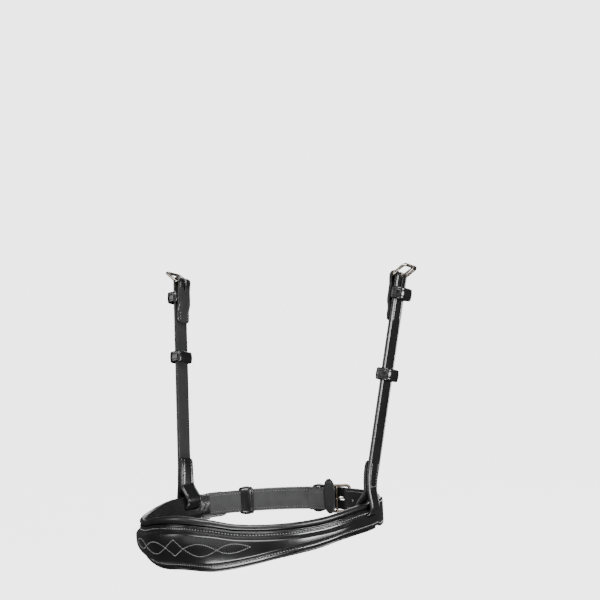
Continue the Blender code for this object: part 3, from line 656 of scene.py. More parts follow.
def round_end(part, least=0.0):
    """Share of the full width at a part of the way into a round end."""
    return max(sqrt(max(1 - part * part, 0)), least)


def evenly(start, end, step):
    count = max(1, ceil(abs(end - start) / step))
    return [start + (end - start) * index / count for index in range(count + 1)]


# Stitches


# Places along a stitch, above the leather, and thickness: thread rises, lies flat and dives again
STITCH_SHAPE = (
    (-0.5, -0.9, 0.55), (-0.42, -0.1, 0.9), (-0.22, 0.45, 1.0),
    (0.0, 0.6, 1.0), (0.22, 0.45, 1.0), (0.42, -0.1, 0.9), (0.5, -0.9, 0.55),
)
STITCH_SIDES = 8


def stitches(name, body, spots, length, thick, finish):
    """One piece of many stitches; each spot is (middle, direction, surface's outward direction)."""
    points, faces = [], []
    for middle, way, up in spots:
        way, up = way.normalized(), up.normalized()
        across = way.cross(up).normalized()
        faces += loft_faces(len(STITCH_SHAPE), STITCH_SIDES, False, len(points))
        for part, rise, size in STITCH_SHAPE:
            centre = middle + way * (part * length) + up * (rise * thick)
            points += circle(centre, across, up, thick * size, STITCH_SIDES)
    dress(make_object(name, points, faces, [finish], 80), body, "thread")


def row_of_spots(place, start, end, pitch, slant=0.0):
    """Stitch spots between two values; place gives a point, and its outward direction, for a value."""
    spots = []
    count = max(1, int(abs(end - start) / pitch))
    span = (end - start) / count
    for index in range(count):
        at = start + span * (index + 0.5)
        point, up = place(at)
        way = (place(at + 0.3 * span)[0] - place(at - 0.3 * span)[0]).normalized()
        spots.append((point, way + way.cross(up).normalized() * slant, up))
    return spots


# The band


def lining_section(along):
    """The lining's section as (out, height, looseness), clockwise seen from the near end."""
    top, bottom = band_top(along), band_bottom(along)
    share = ease(abs(along), CHIN_START - 1.2 * MM, CHIN_START - GAP)
    face = -(CHIN_THICK + GAP) * share
    pad = max(pad_at(along), (CHIN_THICK + GAP + LINING_SKIN) * share)

    def roll(radius, height, back, start, steps, loose):
        out = face - back * (1 - share) - radius * share
        angles = [radians(start + ROLL_TURN * step / steps) for step in range(steps + 1)]
        return [(out + radius * cos(angle), height + radius * sin(angle), loose) for angle in angles]

    top_roll = top_roll_at(along) * (1 - 0.6 * share)
    bottom_roll = BOTTOM_ROLL * (1 - 0.45 * share)
    upper = roll(top_roll, top - top_roll, TOP_ROLL_BACK, TOP_ROLL_FROM, 18, 1.0)
    lower = roll(bottom_roll, bottom + bottom_roll, BOTTOM_ROLL_BACK, BOTTOM_ROLL_FROM, 12, 0.8)
    back = [
        upper[-1][:2],
        (-pad * SHOULDER_SHARE, top - TOP_SHOULDER),
        (-pad, top - 0.36 * (top - bottom)),
        (-pad, bottom + 0.34 * (top - bottom)),
        (-pad * SHOULDER_SHARE, bottom + BOTTOM_SHOULDER),
        lower[0][:2],
    ]
    return upper + [(out, height, 0.6) for out, height in smooth_line(back, 5)[1:-1]] + lower + [
        (face, bottom + 2 * (BOTTOM_ROLL + GAP), 0.0),
        (face, top - 2 * (top_roll_at(along) + GAP), 0.0),
    ]


def make_lining():
    """Soft leather over foam, with rolls, small creases along the rolls and gathers at the chin ends."""
    rings = []
    for along in evenly(-LINING_END, LINING_END, BAND_STEP):
        section = lining_section(along)
        centre_out = sum(point[0] for point in section) / len(section)
        centre_height = sum(point[1] for point in section) / len(section)
        gather = exp(-((abs(along) - GATHER_AT) / GATHER_SPREAD) ** 2)
        ring = []
        for out, height, loose in section:
            where = Vector((along * 260, height * 110, out * 160))
            wave = noise.noise(where * 0.7) * LINING_WAVE
            fold = sin(along / GATHER_PITCH + height * 900) * GATHER_DEPTH * gather
            push = loose * (wave + fold)
            away = Vector((out - centre_out, (height - centre_height) * 0.4)).normalized()
            ring.append(place_band(along, out + away.x * push, height + away.y * push))
        rings.append(ring)
    made = loft("band_lining", rings, "lining")
    cut_slots(made)
    dress(made, "band", "lining", "nose_lining", "nose_filler")


def facing_shape(along, inset=0.0):
    """The facing's top, bottom and share of full depth, its panel's top and foot, and its ridge's width.

    The share is less than 1 in the round tips.
    """
    beside_rolls = 1 - ease(abs(along), CHIN_START - GAP, CHIN_START - GAP + FACING_WIDENS_OVER)
    top = band_top(along) - GAP - 2 * top_roll_at(along) * beside_rolls
    bottom = band_bottom(along) + GAP + 2 * BOTTOM_ROLL * beside_rolls
    past = max(abs(along) - (FACING_END - FACING_TIP), 0)
    share = round_end(past / FACING_TIP, FACING_TIP_LEAST)
    middle = (top + bottom) / 2
    top = middle + (top - middle) * share
    bottom = middle + (bottom - middle) * share
    start = top - (FACING_TOP_MARGIN + inset) * share
    finish = bottom + (FACING_BOTTOM_MARGIN + inset) * share
    return top, bottom, share, start, finish, max(min(RIDGE_RUN, RIDGE_MOST * (start - finish)), 1e-6)


def stitch_height(along, row):
    """Height of the facing's top row of stitches, row 1, or of its bottom row, row -1."""
    top, bottom, share = facing_shape(along)[:3]
    return top - TOP_STITCH_IN * share if row > 0 else bottom + BOTTOM_STITCH_IN * share


def dip(value, at, width, depth):
    """A shallow groove across a surface, as a change of its height."""
    return -depth * exp(-((value - at) / width) ** 2)


def facing_surface(along, height):
    """How far out the facing's outside lies at a height."""
    top, bottom, share, start, finish, rise = facing_shape(along)
    out = GAP + FACING_THICK
    if finish < height < start:
        near_edge = min(start - height, height - finish)
        out += RAISE * raise_at(along) * sin(min(near_edge / rise, 1.0) * pi / 2)
        middle, half = (start + finish) / 2, (start - finish) / 2
        out += crown_at(along) * (1 - ((height - middle) / half) ** 2)
    for row in (1, -1):
        out += dip(height, stitch_height(along, row), CHANNEL_WIDTH, CHANNEL_DEPTH * share)
    out += dip(height, top - RIM_CREASE_IN, CREASE_WIDTH, CREASE_DEPTH * share)
    lean_top = max(height - start, 0) / FACING_TOP_MARGIN
    lean_bottom = max(finish - height, 0) / FACING_BOTTOM_MARGIN
    curl = max(bottom + CURL_RUN - height, 0) / CURL_RUN
    drop = TOP_MARGIN_LEAN * lean_top + BOTTOM_MARGIN_LEAN * lean_bottom + MARGIN_CURL * curl * curl
    return out - drop * raise_at(along)


def facing_section(along):
    """The facing's section as (out, height), from its top edge down the outside and up the inside."""
    top, bottom, share, start, finish, rise = facing_shape(along)
    edge = FACING_EDGE * share
    turns = [pi / 2 * step / 4 for step in range(5)]
    rims = []
    for rim, way in ((top, 1), (bottom, -1)):
        base = facing_surface(along, rim - way * edge) - edge
        rims.append([(base + edge * sin(turn), rim - way * (edge - edge * cos(turn))) for turn in turns])
    marks = (
        (top - edge, 14), (start, 10), (start - rise, 16),
        (finish + rise, 10), (finish, 9), (bottom + edge, 0),
    )
    heights = []
    for (high, steps), (low, ignored) in zip(marks, marks[1:]):
        heights += [high + (low - high) * step / steps for step in range(steps)]
    section = rims[0] + [(facing_surface(along, height), height) for height in heights[1:]] + rims[1][::-1]
    high = GAP + RAISE * raise_at(along)
    half_high = GAP + 0.7 * (high - GAP)
    top, bottom, share, start, finish, rise = facing_shape(along, RIDGE_INSIDE_INSET)
    return section + [
        (GAP, bottom), (GAP, finish), (half_high, finish + 0.5 * rise), (high, finish + rise),
        (high + crown_at(along), (start + finish) / 2),
        (high, start - rise), (half_high, start - 0.5 * rise), (GAP, start), (GAP, top),
    ]


def make_facing():
    """The raised outer leather: rounded edges, creased rims, stitch channels and a crowned panel."""
    rings = []
    for along in evenly(-FACING_END, FACING_END, BAND_STEP):
        share = facing_shape(along)[2]
        ring = []
        for out, height in facing_section(along):
            wave = noise.noise(Vector((along * 55, height * 90, 3.0))) * FACING_WAVE
            wave += noise.noise(Vector((along * 160, height * 120, 7.0))) * FACING_RIPPLE
            outside = out > GAP + 1.0 * MM
            ring.append(place_band(along, out + wave * share * outside, height))
        rings.append(ring)
    made = loft("band_facing", rings, "facing")
    cut_slots(made)
    dress(made, "band", "facing", "nose_facing")


def cut_with(made, rings):
    """Cut an opening and apply the cut."""
    tool = loft(made.name + "_cutter", rings, "edge")
    cut = made.modifiers.new("opening", "BOOLEAN")
    cut.operation = "DIFFERENCE"
    cut.solver = "EXACT"
    cut.object = tool
    settled = made.evaluated_get(bpy.context.evaluated_depsgraph_get())
    mesh = bpy.data.meshes.new_from_object(settled)
    made.modifiers.clear()
    old = made.data
    made.data = mesh
    bpy.data.meshes.remove(old)
    mesh.name = made.name
    bpy.data.objects.remove(tool, do_unlink=True)


def cut_oval(made, along, height, length, width):
    """Cut an opening with round ends through the leather at a place on the seam."""
    point, outward, forward = seam(along)
    radius = width / 2
    outline = []
    for end, start in ((length / 2 - radius, -pi / 2), (radius - length / 2, pi / 2)):
        for angle in [start + pi * step / 12 for step in range(13)]:
            outline.append(forward * (end + radius * cos(angle)) + UP * (height + radius * sin(angle)))
    cut_with(made, [[point + spot + outward * out for spot in outline] for out in (-CUT_REACH, CUT_REACH)])


def cut_slots(made):
    for side in (1, -1):
        cut_oval(made, side * SLOT_AT, SLOT_MIDDLE_Z, CHEEK_WIDTH + 2 * SLOT_CLEAR_END, SLOT_HEIGHT)


def facing_spot(along, height):
    """A point on the facing and the outward direction there."""
    step = 0.2 * MM
    point = place_band(along, facing_surface(along, height), height)
    above = place_band(along, facing_surface(along, height + step), height + step)
    ahead = place_band(along + step, facing_surface(along + step, height), height)
    up = (ahead - point).cross(above - point).normalized()
    if up.dot(seam(along)[1]) < 0:
        up = -up
    return point, up


def make_band_stitches():
    """Two rows of stitches along the facing's margins and round its tips."""
    spots = []
    reach = FACING_END - BAND_STITCH_END
    for row in (1, -1):
        def place(along, row=row):
            return facing_spot(along, stitch_height(along, row))

        spots += row_of_spots(place, -reach, reach, STITCH_PITCH, BAND_STITCH_SLANT)
    stitches("band_stitches", "band", spots, STITCH_LENGTH, THREAD, "thread")


# Fancy stitching: a leaf, an oval, a diamond, an oval and a leaf along one line

FANCY_AT = -1.4 * MM
DIAMOND_HALF = 8.5 * MM
OVAL_END = 35.6 * MM
LEAF_END = 61.3 * MM
DIAMOND_HIGH = 6.7 * MM
OVAL_HIGH = 4.9 * MM
LEAF_HIGH = 3.6 * MM
DIAMOND_SIDE = DIAMOND_HALF * 1.3
OVAL_SIDE = 30 * MM
LEAF_SIDE = 26 * MM
FANCY_HEIGHT = -21.0 * MM
FANCY_DIP = 1.6 * MM


def fancy_middle(along):
    """Height of the line that the figures lie along."""
    at = abs(along)
    return FANCY_HEIGHT - FANCY_DIP * (ease(at, 0, 24 * MM) - ease(at, 30 * MM, 60 * MM))


def make_fancy():
    """Grey stitches on the panel over the nose."""
    spots = []

    def sew(way, length):
        def place(part):
            along, height = way(part)
            return facing_spot(FANCY_AT + along, height)
        spots.extend(row_of_spots(place, 0.0, 1.0, FANCY_PITCH / length))

    def straight(start, end):
        def way(part):
            return start[0] + (end[0] - start[0]) * part, start[1] + (end[1] - start[1]) * part
        sew(way, DIAMOND_SIDE)

    def bow(start, end, high, length, power=1.0):
        def way(part):
            along = start + (end - start) * part
            return along, fancy_middle(along) + high * sin(pi * part ** power)
        sew(way, length)

    left, right = [(at, fancy_middle(at)) for at in (-DIAMOND_HALF, DIAMOND_HALF)]
    for tip in (DIAMOND_HIGH, -DIAMOND_HIGH):
        peak = (0.0, fancy_middle(0) + tip)
        straight(left, peak)
        straight(peak, right)
    for side in (1, -1):
        for high in (1, -1):
            bow(side * DIAMOND_HALF, side * OVAL_END, high * OVAL_HIGH, OVAL_SIDE)
            bow(side * OVAL_END, side * LEAF_END, high * LEAF_HIGH, LEAF_SIDE, 0.85)
    stitches("fancy_stitches", "band", spots, FANCY_LENGTH, FANCY_THREAD, "fancy_thread")


# Straps


def strap_piece(name, place, path, sizes, back="flesh", matte=lambda row: False,
                stitched=lambda along: 1.0, crown=0.0, skive=0.0, tip=0.0):
    """A strap along (along, out) points, with a crease and a stitch channel at both edges.

    Its back shows in rows that are matte. Its ends are thinned over skive, and the last is round over tip.
    """
    width, thick, crease_in, stitch_in = sizes
    half, deep = width / 2, thick / 2
    edge, flat = STRAP_ROUND, half - STRAP_ROUND

    def corner(level, side, *turns):
        return [
            (level * (deep - edge) + edge * sin(radians(turn)), side * (flat + edge * cos(radians(turn))))
            for turn in turns
        ]

    rim = corner(1, 1, 90, 60, 30) + corner(-1, 1, -30, -60, -90)
    rim += [(-deep, flat * share) for share in (0.6, 0.2, -0.2, -0.6)]
    rim += corner(-1, -1, -90, -60, -30) + corner(1, -1, 30, 60)
    grooves = []
    for side in (-1, 1):
        grooves.append((side * (half - crease_in), CREASE_WIDTH, CREASE_DEPTH))
        grooves.append((side * (half - stitch_in), CHANNEL_WIDTH, CHANNEL_DEPTH))
    columns = {round(part * flat, 7) for part in (-1, -0.45, -0.2, 0, 0.2, 0.45, 1)}
    for at, size, depth in grooves:
        columns |= {round(at + shift * size, 7) for shift in (-1.7, -0.8, 0, 0.8, 1.7)}
    columns = sorted(across for across in columns if abs(across) <= flat)[:-1]
    kinds = [1] * 5 + [2] * 5 + [1] * 5 + [0] * len(columns)
    lengths = [0.0]
    for before, after in zip(path, path[1:]):
        lengths.append(lengths[-1] + hypot(after[0] - before[0], after[1] - before[1]))
    rings = []
    for index, (along, level) in enumerate(path):
        before, after = path[max(index - 1, 0)], path[min(index + 1, len(path) - 1)]
        size = hypot(after[0] - before[0], after[1] - before[1])
        way = ((before[1] - after[1]) / size, (after[0] - before[0]) / size)
        left = lengths[-1] - lengths[index]
        end = min(left, lengths[index])
        narrow = 1.0
        if left < tip:
            narrow = round_end(1 - left / tip, 0.06)
        elif end <= END_ROUND:
            narrow = 1 - END_ROUND / half * (1 - round_end(1 - end / END_ROUND))
        thin = min(1.0, 0.45 + 0.55 * end / skive) if skive else 1.0
        wave = noise.noise(Vector((lengths[index] * 60, width * 900, 5.0))) * STRAP_WAVE
        sewn = (1, stitched(along))
        section = list(rim)
        for across in columns:
            rise = crown * (1 - (across / half) ** 2)
            for number, (at, size, depth) in enumerate(grooves):
                rise += dip(across, at, size, depth * sewn[number % 2])
            section.append((deep + rise, across))
        ring = []
        for out, across in section:
            away = out * thin + wave
            ring.append(place(along + way[0] * away, level + way[1] * away, across * narrow))
        rings.append(ring)
    choice = []
    for row in range(len(rings) - 1):
        choice += [2 if kind == 0 and matte(row) else kind for kind in kinds]
    return loft(name, rings, "strap", "edge", back, choice=choice + [1, 1])


def keeper_piece(name, place, middle, length, low, high, width, crown=KEEPER_CROWN, outer=KEEPER_CORNER):
    """A leather loop with rounded edges, creases along them, a soft crown and outer corners of their own."""
    edge, span = KEEPER_EDGE, length / 2 - KEEPER_EDGE

    def rim(level, *turns):
        return [(edge + edge * cos(radians(turn)), level + edge * sin(radians(turn))) for turn in turns]

    profile = rim(-span, 180, 225, 270)
    for part in (-1.0, -0.86, -0.74, -0.66, -0.58, -0.46, -0.2, 0, 0.2, 0.46, 0.58, 0.66, 0.74, 0.86, 1.0):
        rise = crown * (1 - part * part) + dip(abs(part), 0.66, 0.07, CREASE_DEPTH)
        profile.append((KEEPER_WALL + rise * (abs(part) < 1), part * span))
    profile += rim(span, 90, 135, 180)
    far = (high - outer, width / 2 - outer, outer)
    near = (low + KEEPER_CORNER, width / 2 - KEEPER_CORNER, KEEPER_CORNER)
    bends = []
    for quarter, (out, across, radius) in enumerate((far, near, near, far)):
        side = 1 if quarter < 2 else -1
        turns = [pi / 2 * (quarter + step / 10) for step in range(11)]
        bends.append([
            (out + radius * cos(turn), side * across + radius * sin(turn), cos(turn), sin(turn))
            for turn in turns
        ])
    ways = []
    for turned, ahead in zip(bends, bends[1:] + bends[:1]):
        out, across, *facing = turned[-1]
        step_out, step_across = ahead[0][0] - out, ahead[0][1] - across
        ways += turned
        for part in (0.2, 0.4, 0.6, 0.8):
            ways.append((out + step_out * part, across + step_across * part, *facing))
    rings = []
    for out, across, turn_out, turn_across in ways:
        wave = noise.noise(Vector((out * 200, across * 120, middle * 40))) * KEEPER_WAVE
        rings.append([
            place(middle + along, out + (depth + wave) * turn_out, across + (depth + wave) * turn_across)
            for depth, along in profile
        ])
    return loft(name, rings, "keeper", closed=True)


def surface_spot(place, along, out, across, side):
    """A strap's point and the way that its surface faces; side is 1 outside and -1 inside."""
    point = place(along, out, across)
    return point, (place(along, out + side * MM, across) - point).normalized()


def edge_rows(place, start, end, out, side, reach):
    """Stitch spots along both edges of a strap, reach from its middle."""
    spots = []
    for across in (-reach, reach):
        def spot(along, across=across):
            return surface_spot(place, along, out, across, side)
        spots += row_of_spots(spot, start, end, STITCH_PITCH)
    return spots


def cheek_path(bar_at):
    """From the lap's end down, through the slot, up the outside, round the bar and down again."""
    keeper_top = bar_at - FIXED_KEEPER_BELOW_BAR + KEEPER_LENGTH / 2
    keeper_bottom = keeper_top - KEEPER_LENGTH
    path = [(LAP_TOP, LAP_OUT)]
    go(path, (LOOP_CLOSE, LAP_OUT))
    go(path, (BRIDGE_Z, LOOP_OUT - LOOP_PLY), 14)
    bend(path, (BRIDGE_Z, LOOP_OUT), LOOP_PLY, -pi / 2, -pi, 28)
    go(path, (LOOP_CLOSE, 0), 14)
    go(path, (bar_at, 0))
    bend(path, (bar_at, -BAR_PLY), BAR_PLY, pi / 2, -pi, 20)
    go(path, (keeper_top + GAP, KEEPER_PLY_OUT), 8)
    go(path, (keeper_bottom - GAP, KEEPER_PLY_OUT))
    go(path, (keeper_bottom - PLY_SETTLE, LAP_OUT), 8)
    go(path, (bar_at - TURN_BACK, LAP_OUT))
    return path


def make_cheek(name, side):
    """One cheek strap with its stitching and keepers."""
    place = cheek_place(side)
    lap = CHEEK_THICK / 2
    bar_at = BAR_AT[name]
    turn_end = bar_at - TURN_BACK
    keeper_bottom = bar_at - FIXED_KEEPER_BELOW_BAR - KEEPER_LENGTH / 2
    path = cheek_path(bar_at)
    fold = next(row for row, point in enumerate(path) if point[0] > bar_at)

    def stitched(along):
        low = ease(along, LOOP_CLOSE - 3 * MM, LOOP_CLOSE) * (1 - ease(along, LAP_TOP - MM, LAP_TOP))
        high = ease(along, turn_end, turn_end + MM) * (1 - ease(along, keeper_bottom, keeper_bottom + MM))
        return max(low, high)

    def matte(row):
        return row > fold and path[row][0] < bar_at - FOLD_SHOWS

    made = strap_piece(name + "_cheek_leather", place, path, CHEEK_SIZES, "cheek_flesh", matte,
                       stitched, CHEEK_CROWN, SKIVED_END)
    crew = TONGUE_WIRE + KEEPER_CLEAR
    low, high = -2 * (BAR_PLY + CHEEK_THICK), CHEEK_THICK
    corners = ((low, -crew), (high, -crew), (high, crew), (low, crew))
    cut_with(made, [
        [place(along, out, across) for out, across in corners]
        for along in (bar_at - CREW_DEPTH, bar_at + BAR_PLY + CHEEK_THICK)
    ])
    dress(made, name + "_cheek", "strap", name + "_cheek_strap")

    def across_spot(across):
        return surface_spot(place, LOOP_CLOSE + MM, lap, across, 1)

    reach = CHEEK_WIDTH / 2 - CHEEK_STITCH_IN
    spots = row_of_spots(across_spot, -reach, reach, STITCH_PITCH)
    for start, end in (
        (LOOP_CLOSE + MM, LAP_TOP - 1.5 * MM), (turn_end + 1.5 * MM, keeper_bottom - PLY_SETTLE),
    ):
        spots += edge_rows(place, start, end, lap, 1, reach)
        spots += edge_rows(place, start, end, LAP_OUT - lap, -1, reach)
    stitches(name + "_cheek_stitches", name + "_cheek", spots, STITCH_LENGTH, THREAD, "fancy_thread")

    for kind, spot, slack, room, body in (
        ("fixed", bar_at - FIXED_KEEPER_BELOW_BAR, 0, FIXED_KEEPER_ROOM, "cheek"),
        ("sliding", SLIDER_AT[name], SLIDER_SLACK, SLIDER_ROOM, "slider"),
    ):
        loop = keeper_piece(
            name + "_" + kind + "_loop", place, spot, KEEPER_LENGTH, -lap - KEEPER_CLEAR - slack, lap + room,
            CHEEK_WIDTH + 2 * KEEPER_CLEAR, FLAT_CROWN, ROOMY_CORNER,
        )
        dress(loop, name + "_" + body, "keeper", name + "_" + kind + "_keeper")


# Buckles


def rod(points, radii, across, sides):
    """Rings along points that lie in one plane, square to across."""
    rings = []
    for index, point in enumerate(points):
        before, after = points[max(index - 1, 0)], points[min(index + 1, len(points) - 1)]
        side = (after - before).cross(across).normalized()
        rings.append(circle(point, side, across, radii[index], sides))
    return rings


def frame_rings(heel, reach_way, across_way, reach, width):
    """A wire frame, a little stouter at its tip bar, where it is polished."""
    wide, far = width / 2 + WIRE - FRAME_CORNER, reach - FRAME_CORNER
    normal = reach_way.cross(across_way).normalized()
    rings = []
    corners = ((far, wide), (FRAME_CORNER, wide), (FRAME_CORNER, -wide), (far, -wide))
    for quarter, (along, across) in enumerate(corners):
        for angle in [pi / 2 * (quarter + step / 12) for step in range(13)]:
            away = reach_way * cos(angle) + across_way * sin(angle)
            middle = heel + reach_way * along + across_way * across + away * FRAME_CORNER
            stouter = TIP_BAR_STOUTER * ease(along + FRAME_CORNER * cos(angle), reach * 0.55, reach)
            rings.append(circle(middle, away, normal, WIRE * (1 + stouter), 20))
    return rings


def tongue_rings(bar_at, ways, bar_wire, wire, reach, rise):
    """A prong curled round a bar, tapering to a rounded point past the tip bar."""
    reach_way, out_way, across_way = ways
    eye = bar_wire + TONGUE_CLEAR + wire
    rest = rise + WIRE * (1 + TIP_BAR_STOUTER) + GAP + TONGUE_TIP_WIRE
    end = reach + WIRE + TONGUE_PAST_BAR
    cap = TONGUE_TIP_WIRE * 1.2
    line = smooth_line([
        (end, rest - 0.1 * MM), (reach + WIRE, rest), (reach, rest), (reach * 0.6, eye + (rest - eye) * 0.6),
        (reach * 0.25, eye + (rest - eye) * 0.1), (0.0, eye),
    ], 8)
    radii = []
    for along, out in line:
        blunt = round_end(max(1 - (end - along) / cap, 0), 0.12)
        radii.append(blunt * (wire + (TONGUE_TIP_WIRE - wire) * ease(along, reach * 0.4, reach)))
    steps = 26
    bend(line, (0, 0), eye, pi / 2, TONGUE_CURL, steps)
    radii += [wire * (1 - 0.25 * step / steps) for step in range(1, steps + 1)]
    points = [bar_at + reach_way * along + out_way * out for along, out in line]
    return rod(points, radii, across_way, 16)


def make_buckle(name, node, metal, heel, ways, reach, width,
                bar_past=0, bar_drop=0, bar_wire=WIRE, wire=TONGUE_WIRE):
    """A frame and its tongue, which turns on the heel or on a bar of its own past it and below."""
    reach_way, out_way, across_way = ways
    rings = frame_rings(heel, reach_way, across_way, reach, width)
    made = loft(name + "_buckle_wire", rings, metal, closed=True)
    dress(made, name + "_frame", "buckle_metal", node + "_frame")
    bar_at = heel + reach_way * bar_past - out_way * bar_drop
    if bar_past:
        half = across_way * (width / 2 + 0.5 * WIRE)
        rings = rod([bar_at - half, bar_at + half], [bar_wire] * 2, reach_way, 20)
        dress(loft(name + "_buckle_bar", rings, metal), name + "_frame", "buckle_metal")
    rings = tongue_rings(bar_at, ways, bar_wire, wire, reach - bar_past, bar_drop)
    made = loft(name + "_buckle_prong", rings, metal)
    dress(made, name + "_tongue", "buckle_metal", node + "_tongue")


def tilted(along, out, tilt):
    """Two directions, turned by tilt from along towards out."""
    return along * cos(tilt) + out * sin(tilt), out * cos(tilt) - along * sin(tilt)


def make_cheek_buckle(name, side):
    heel = cheek_place(side)(BAR_AT[name], -BAR_PLY, 0)
    outward, rearward, up = [mirrored(way, side) for way in cheek_ways(BAR_AT[name])]
    ways = (*tilted(up, outward, CHEEK_FRAME_TILT), rearward)
    width = CHEEK_WIDTH + 2 * CHEEK_FRAME_SIDE_CLEAR
    make_buckle(name, name + "_cheek_buckle", "steel", heel, ways, CHEEK_FRAME_REACH, width)


# Chin straps and buckle

CHIN_OUT = -CHIN_THICK / 2
CHIN_PLY = WIRE + GAP + CHIN_THICK / 2
CHIN_BAR_AT = -(HALF_GIRTH + CHIN_BAR_PAST_MIDDLE)
CHIN_BAR_OUT = CHIN_OUT - CHIN_PLY
CHIN_FIXED_AT = CHIN_BAR_AT + CHIN_FIXED_KEEPER_BEFORE_BAR
CHIN_SLIDER_MIDDLE = CHIN_BAR_AT + CHIN_SLIDER_BEFORE_BAR
CHIN_TURNED_OUT = CHIN_OUT - (CHIN_THICK + KEEPER_WALL + KEEPER_CLEAR + GAP)
TIP_BAR_OUT = GAP + WIRE
CHIN_FOLD_REACH = CHIN_PLY + CHIN_THICK / 2
CHIN_TONGUE_EYE = CHIN_BAR_WIRE + TONGUE_CLEAR + 2 * CHIN_TONGUE_WIRE
CHIN_TONGUE_BAR_AT = CHIN_FOLD_REACH + GAP + CHIN_TONGUE_EYE
CHIN_TILT = asin((TIP_BAR_OUT - CHIN_BAR_OUT) / CHIN_FRAME_REACH)


def make_buckle_strap():
    """The off chin strap: from the lining to the buckle's strap bar, round it and back."""
    settle = CHIN_FIXED_AT - CHIN_FIXED_KEEPER_LENGTH / 2 - GAP
    path = [(-CHIN_START, CHIN_OUT)]
    go(path, (CHIN_BAR_AT, CHIN_OUT))
    bend(path, (CHIN_BAR_AT, CHIN_BAR_OUT), CHIN_PLY, pi / 2, pi, 20)
    go(path, (settle, CHIN_TURNED_OUT), 10)
    go(path, (CHIN_BAR_AT + CHIN_TURN_BACK, CHIN_TURNED_OUT))
    path.reverse()
    turn = next(row for row, point in enumerate(path) if point[0] < CHIN_BAR_AT)
    made = strap_piece("chin_buckle_leather", place_chin, path, CHIN_SIZES, matte=lambda row: row < turn)
    dress(made, "band", "strap", "chin_buckle_strap")


def make_billet():
    """The near chin strap: under the tip bar, up through the frame and over the off strap."""
    girth = 2 * HALF_GIRTH
    bar_at = girth + CHIN_BAR_AT
    tip_bar = bar_at - CHIN_FRAME_REACH * cos(CHIN_TILT)
    rise_start = tip_bar + BILLET_RISE_AFTER_TIP_BAR
    rise_end = bar_at - CHIN_TONGUE_BAR_AT - BILLET_RISE_BEFORE_EYE
    over = CHIN_THICK / 2 + GAP
    end = girth + CHIN_SLIDER_MIDDLE + CHIN_SLIDER_LENGTH / 2 + BILLET_TIP_PAST_SLIDER
    tip_start = end - BILLET_TIP
    path = [(CHIN_START, CHIN_OUT)]
    go(path, (rise_start, CHIN_OUT))
    go(path, (rise_end, over), 16)
    go(path, (tip_start, over))
    path += [(end - BILLET_TIP * (1 - step / 14) ** 1.7, over) for step in range(1, 15)]
    # The billet's back takes the near-black guard leather, darker than the other chin strap's grey flesh
    # back: painted shade for the shadowed strip inside the chin buckle.
    made = strap_piece("chin_billet_leather", place_chin, path, CHIN_SIZES, "guard", tip=BILLET_TIP)
    hole_at = (rise_start + rise_end) / 2 + TONGUE_HOLE_PAST_MIDDLE
    cut_oval(made, hole_at, CHIN_MIDDLE_Z, BILLET_HOLE_LENGTH, BILLET_HOLE_WIDTH)
    for number in BILLET_HOLES:
        spot = hole_at + BILLET_HOLE_PITCH * number
        cut_oval(made, spot, CHIN_MIDDLE_Z, BILLET_HOLE_SIZE, BILLET_HOLE_WIDTH)
    dress(made, "band", "strap", "chin_billet")

    inner = CHIN_OUT - CHIN_THICK / 2
    spots = []
    for start, end, out, side in (
        (LINING_END + 2 * MM, rise_start - 2 * MM, inner, -1),
        (FACING_END + 2 * MM, tip_bar - 3 * MM, 0.0, 1),
        (rise_end + 2 * MM, tip_start - 2 * MM, over + CHIN_THICK / 2, 1),
        (-LINING_END - 2 * MM, CHIN_BAR_AT + CHIN_TURN_BACK + 2 * MM, inner, -1),
        (-FACING_END - 2 * MM, CHIN_SLIDER_MIDDLE + CHIN_SLIDER_LENGTH, 0.0, 1),
    ):
        spots += edge_rows(place_chin, start, end, out, side, CHIN_WIDTH / 2 - CHIN_STITCH_IN)
    stitches("chin_stitches", "band", spots, STITCH_LENGTH, THREAD, "dark_thread")


def make_chin_buckle():
    heel = place_chin(CHIN_BAR_AT, CHIN_BAR_OUT, 0)
    point, outward, forward = seam(CHIN_BAR_AT)
    ways = (*tilted(-forward, outward, CHIN_TILT), UP)
    width = CHIN_WIDTH + 2 * CHIN_FRAME_SIDE_CLEAR
    # The chin buckle's darker copy of the steel is painted shade on its bars and tongue.
    make_buckle("chin", "chin_buckle", "painted_shade_steel", heel, ways, CHIN_FRAME_REACH, width,
                CHIN_TONGUE_BAR_AT, CHIN_TONGUE_BAR_DROP, CHIN_BAR_WIRE, CHIN_TONGUE_WIRE)


def make_chin_keepers():
    inside = CHIN_WIDTH + 2 * KEEPER_CLEAR
    low = CHIN_OUT - CHIN_THICK / 2 - KEEPER_CLEAR
    high = GAP + CHIN_THICK + KEEPER_CLEAR
    for name, spot, length, body in (
        ("fixed", CHIN_FIXED_AT, CHIN_FIXED_KEEPER_LENGTH, "band"),
        ("sliding", CHIN_SLIDER_MIDDLE, CHIN_SLIDER_LENGTH, "chin_slider"),
    ):
        loop = keeper_piece("chin_" + name + "_loop", place_chin, spot, length, low, high, inside)
        dress(loop, body, "keeper", "chin_" + name + "_keeper")


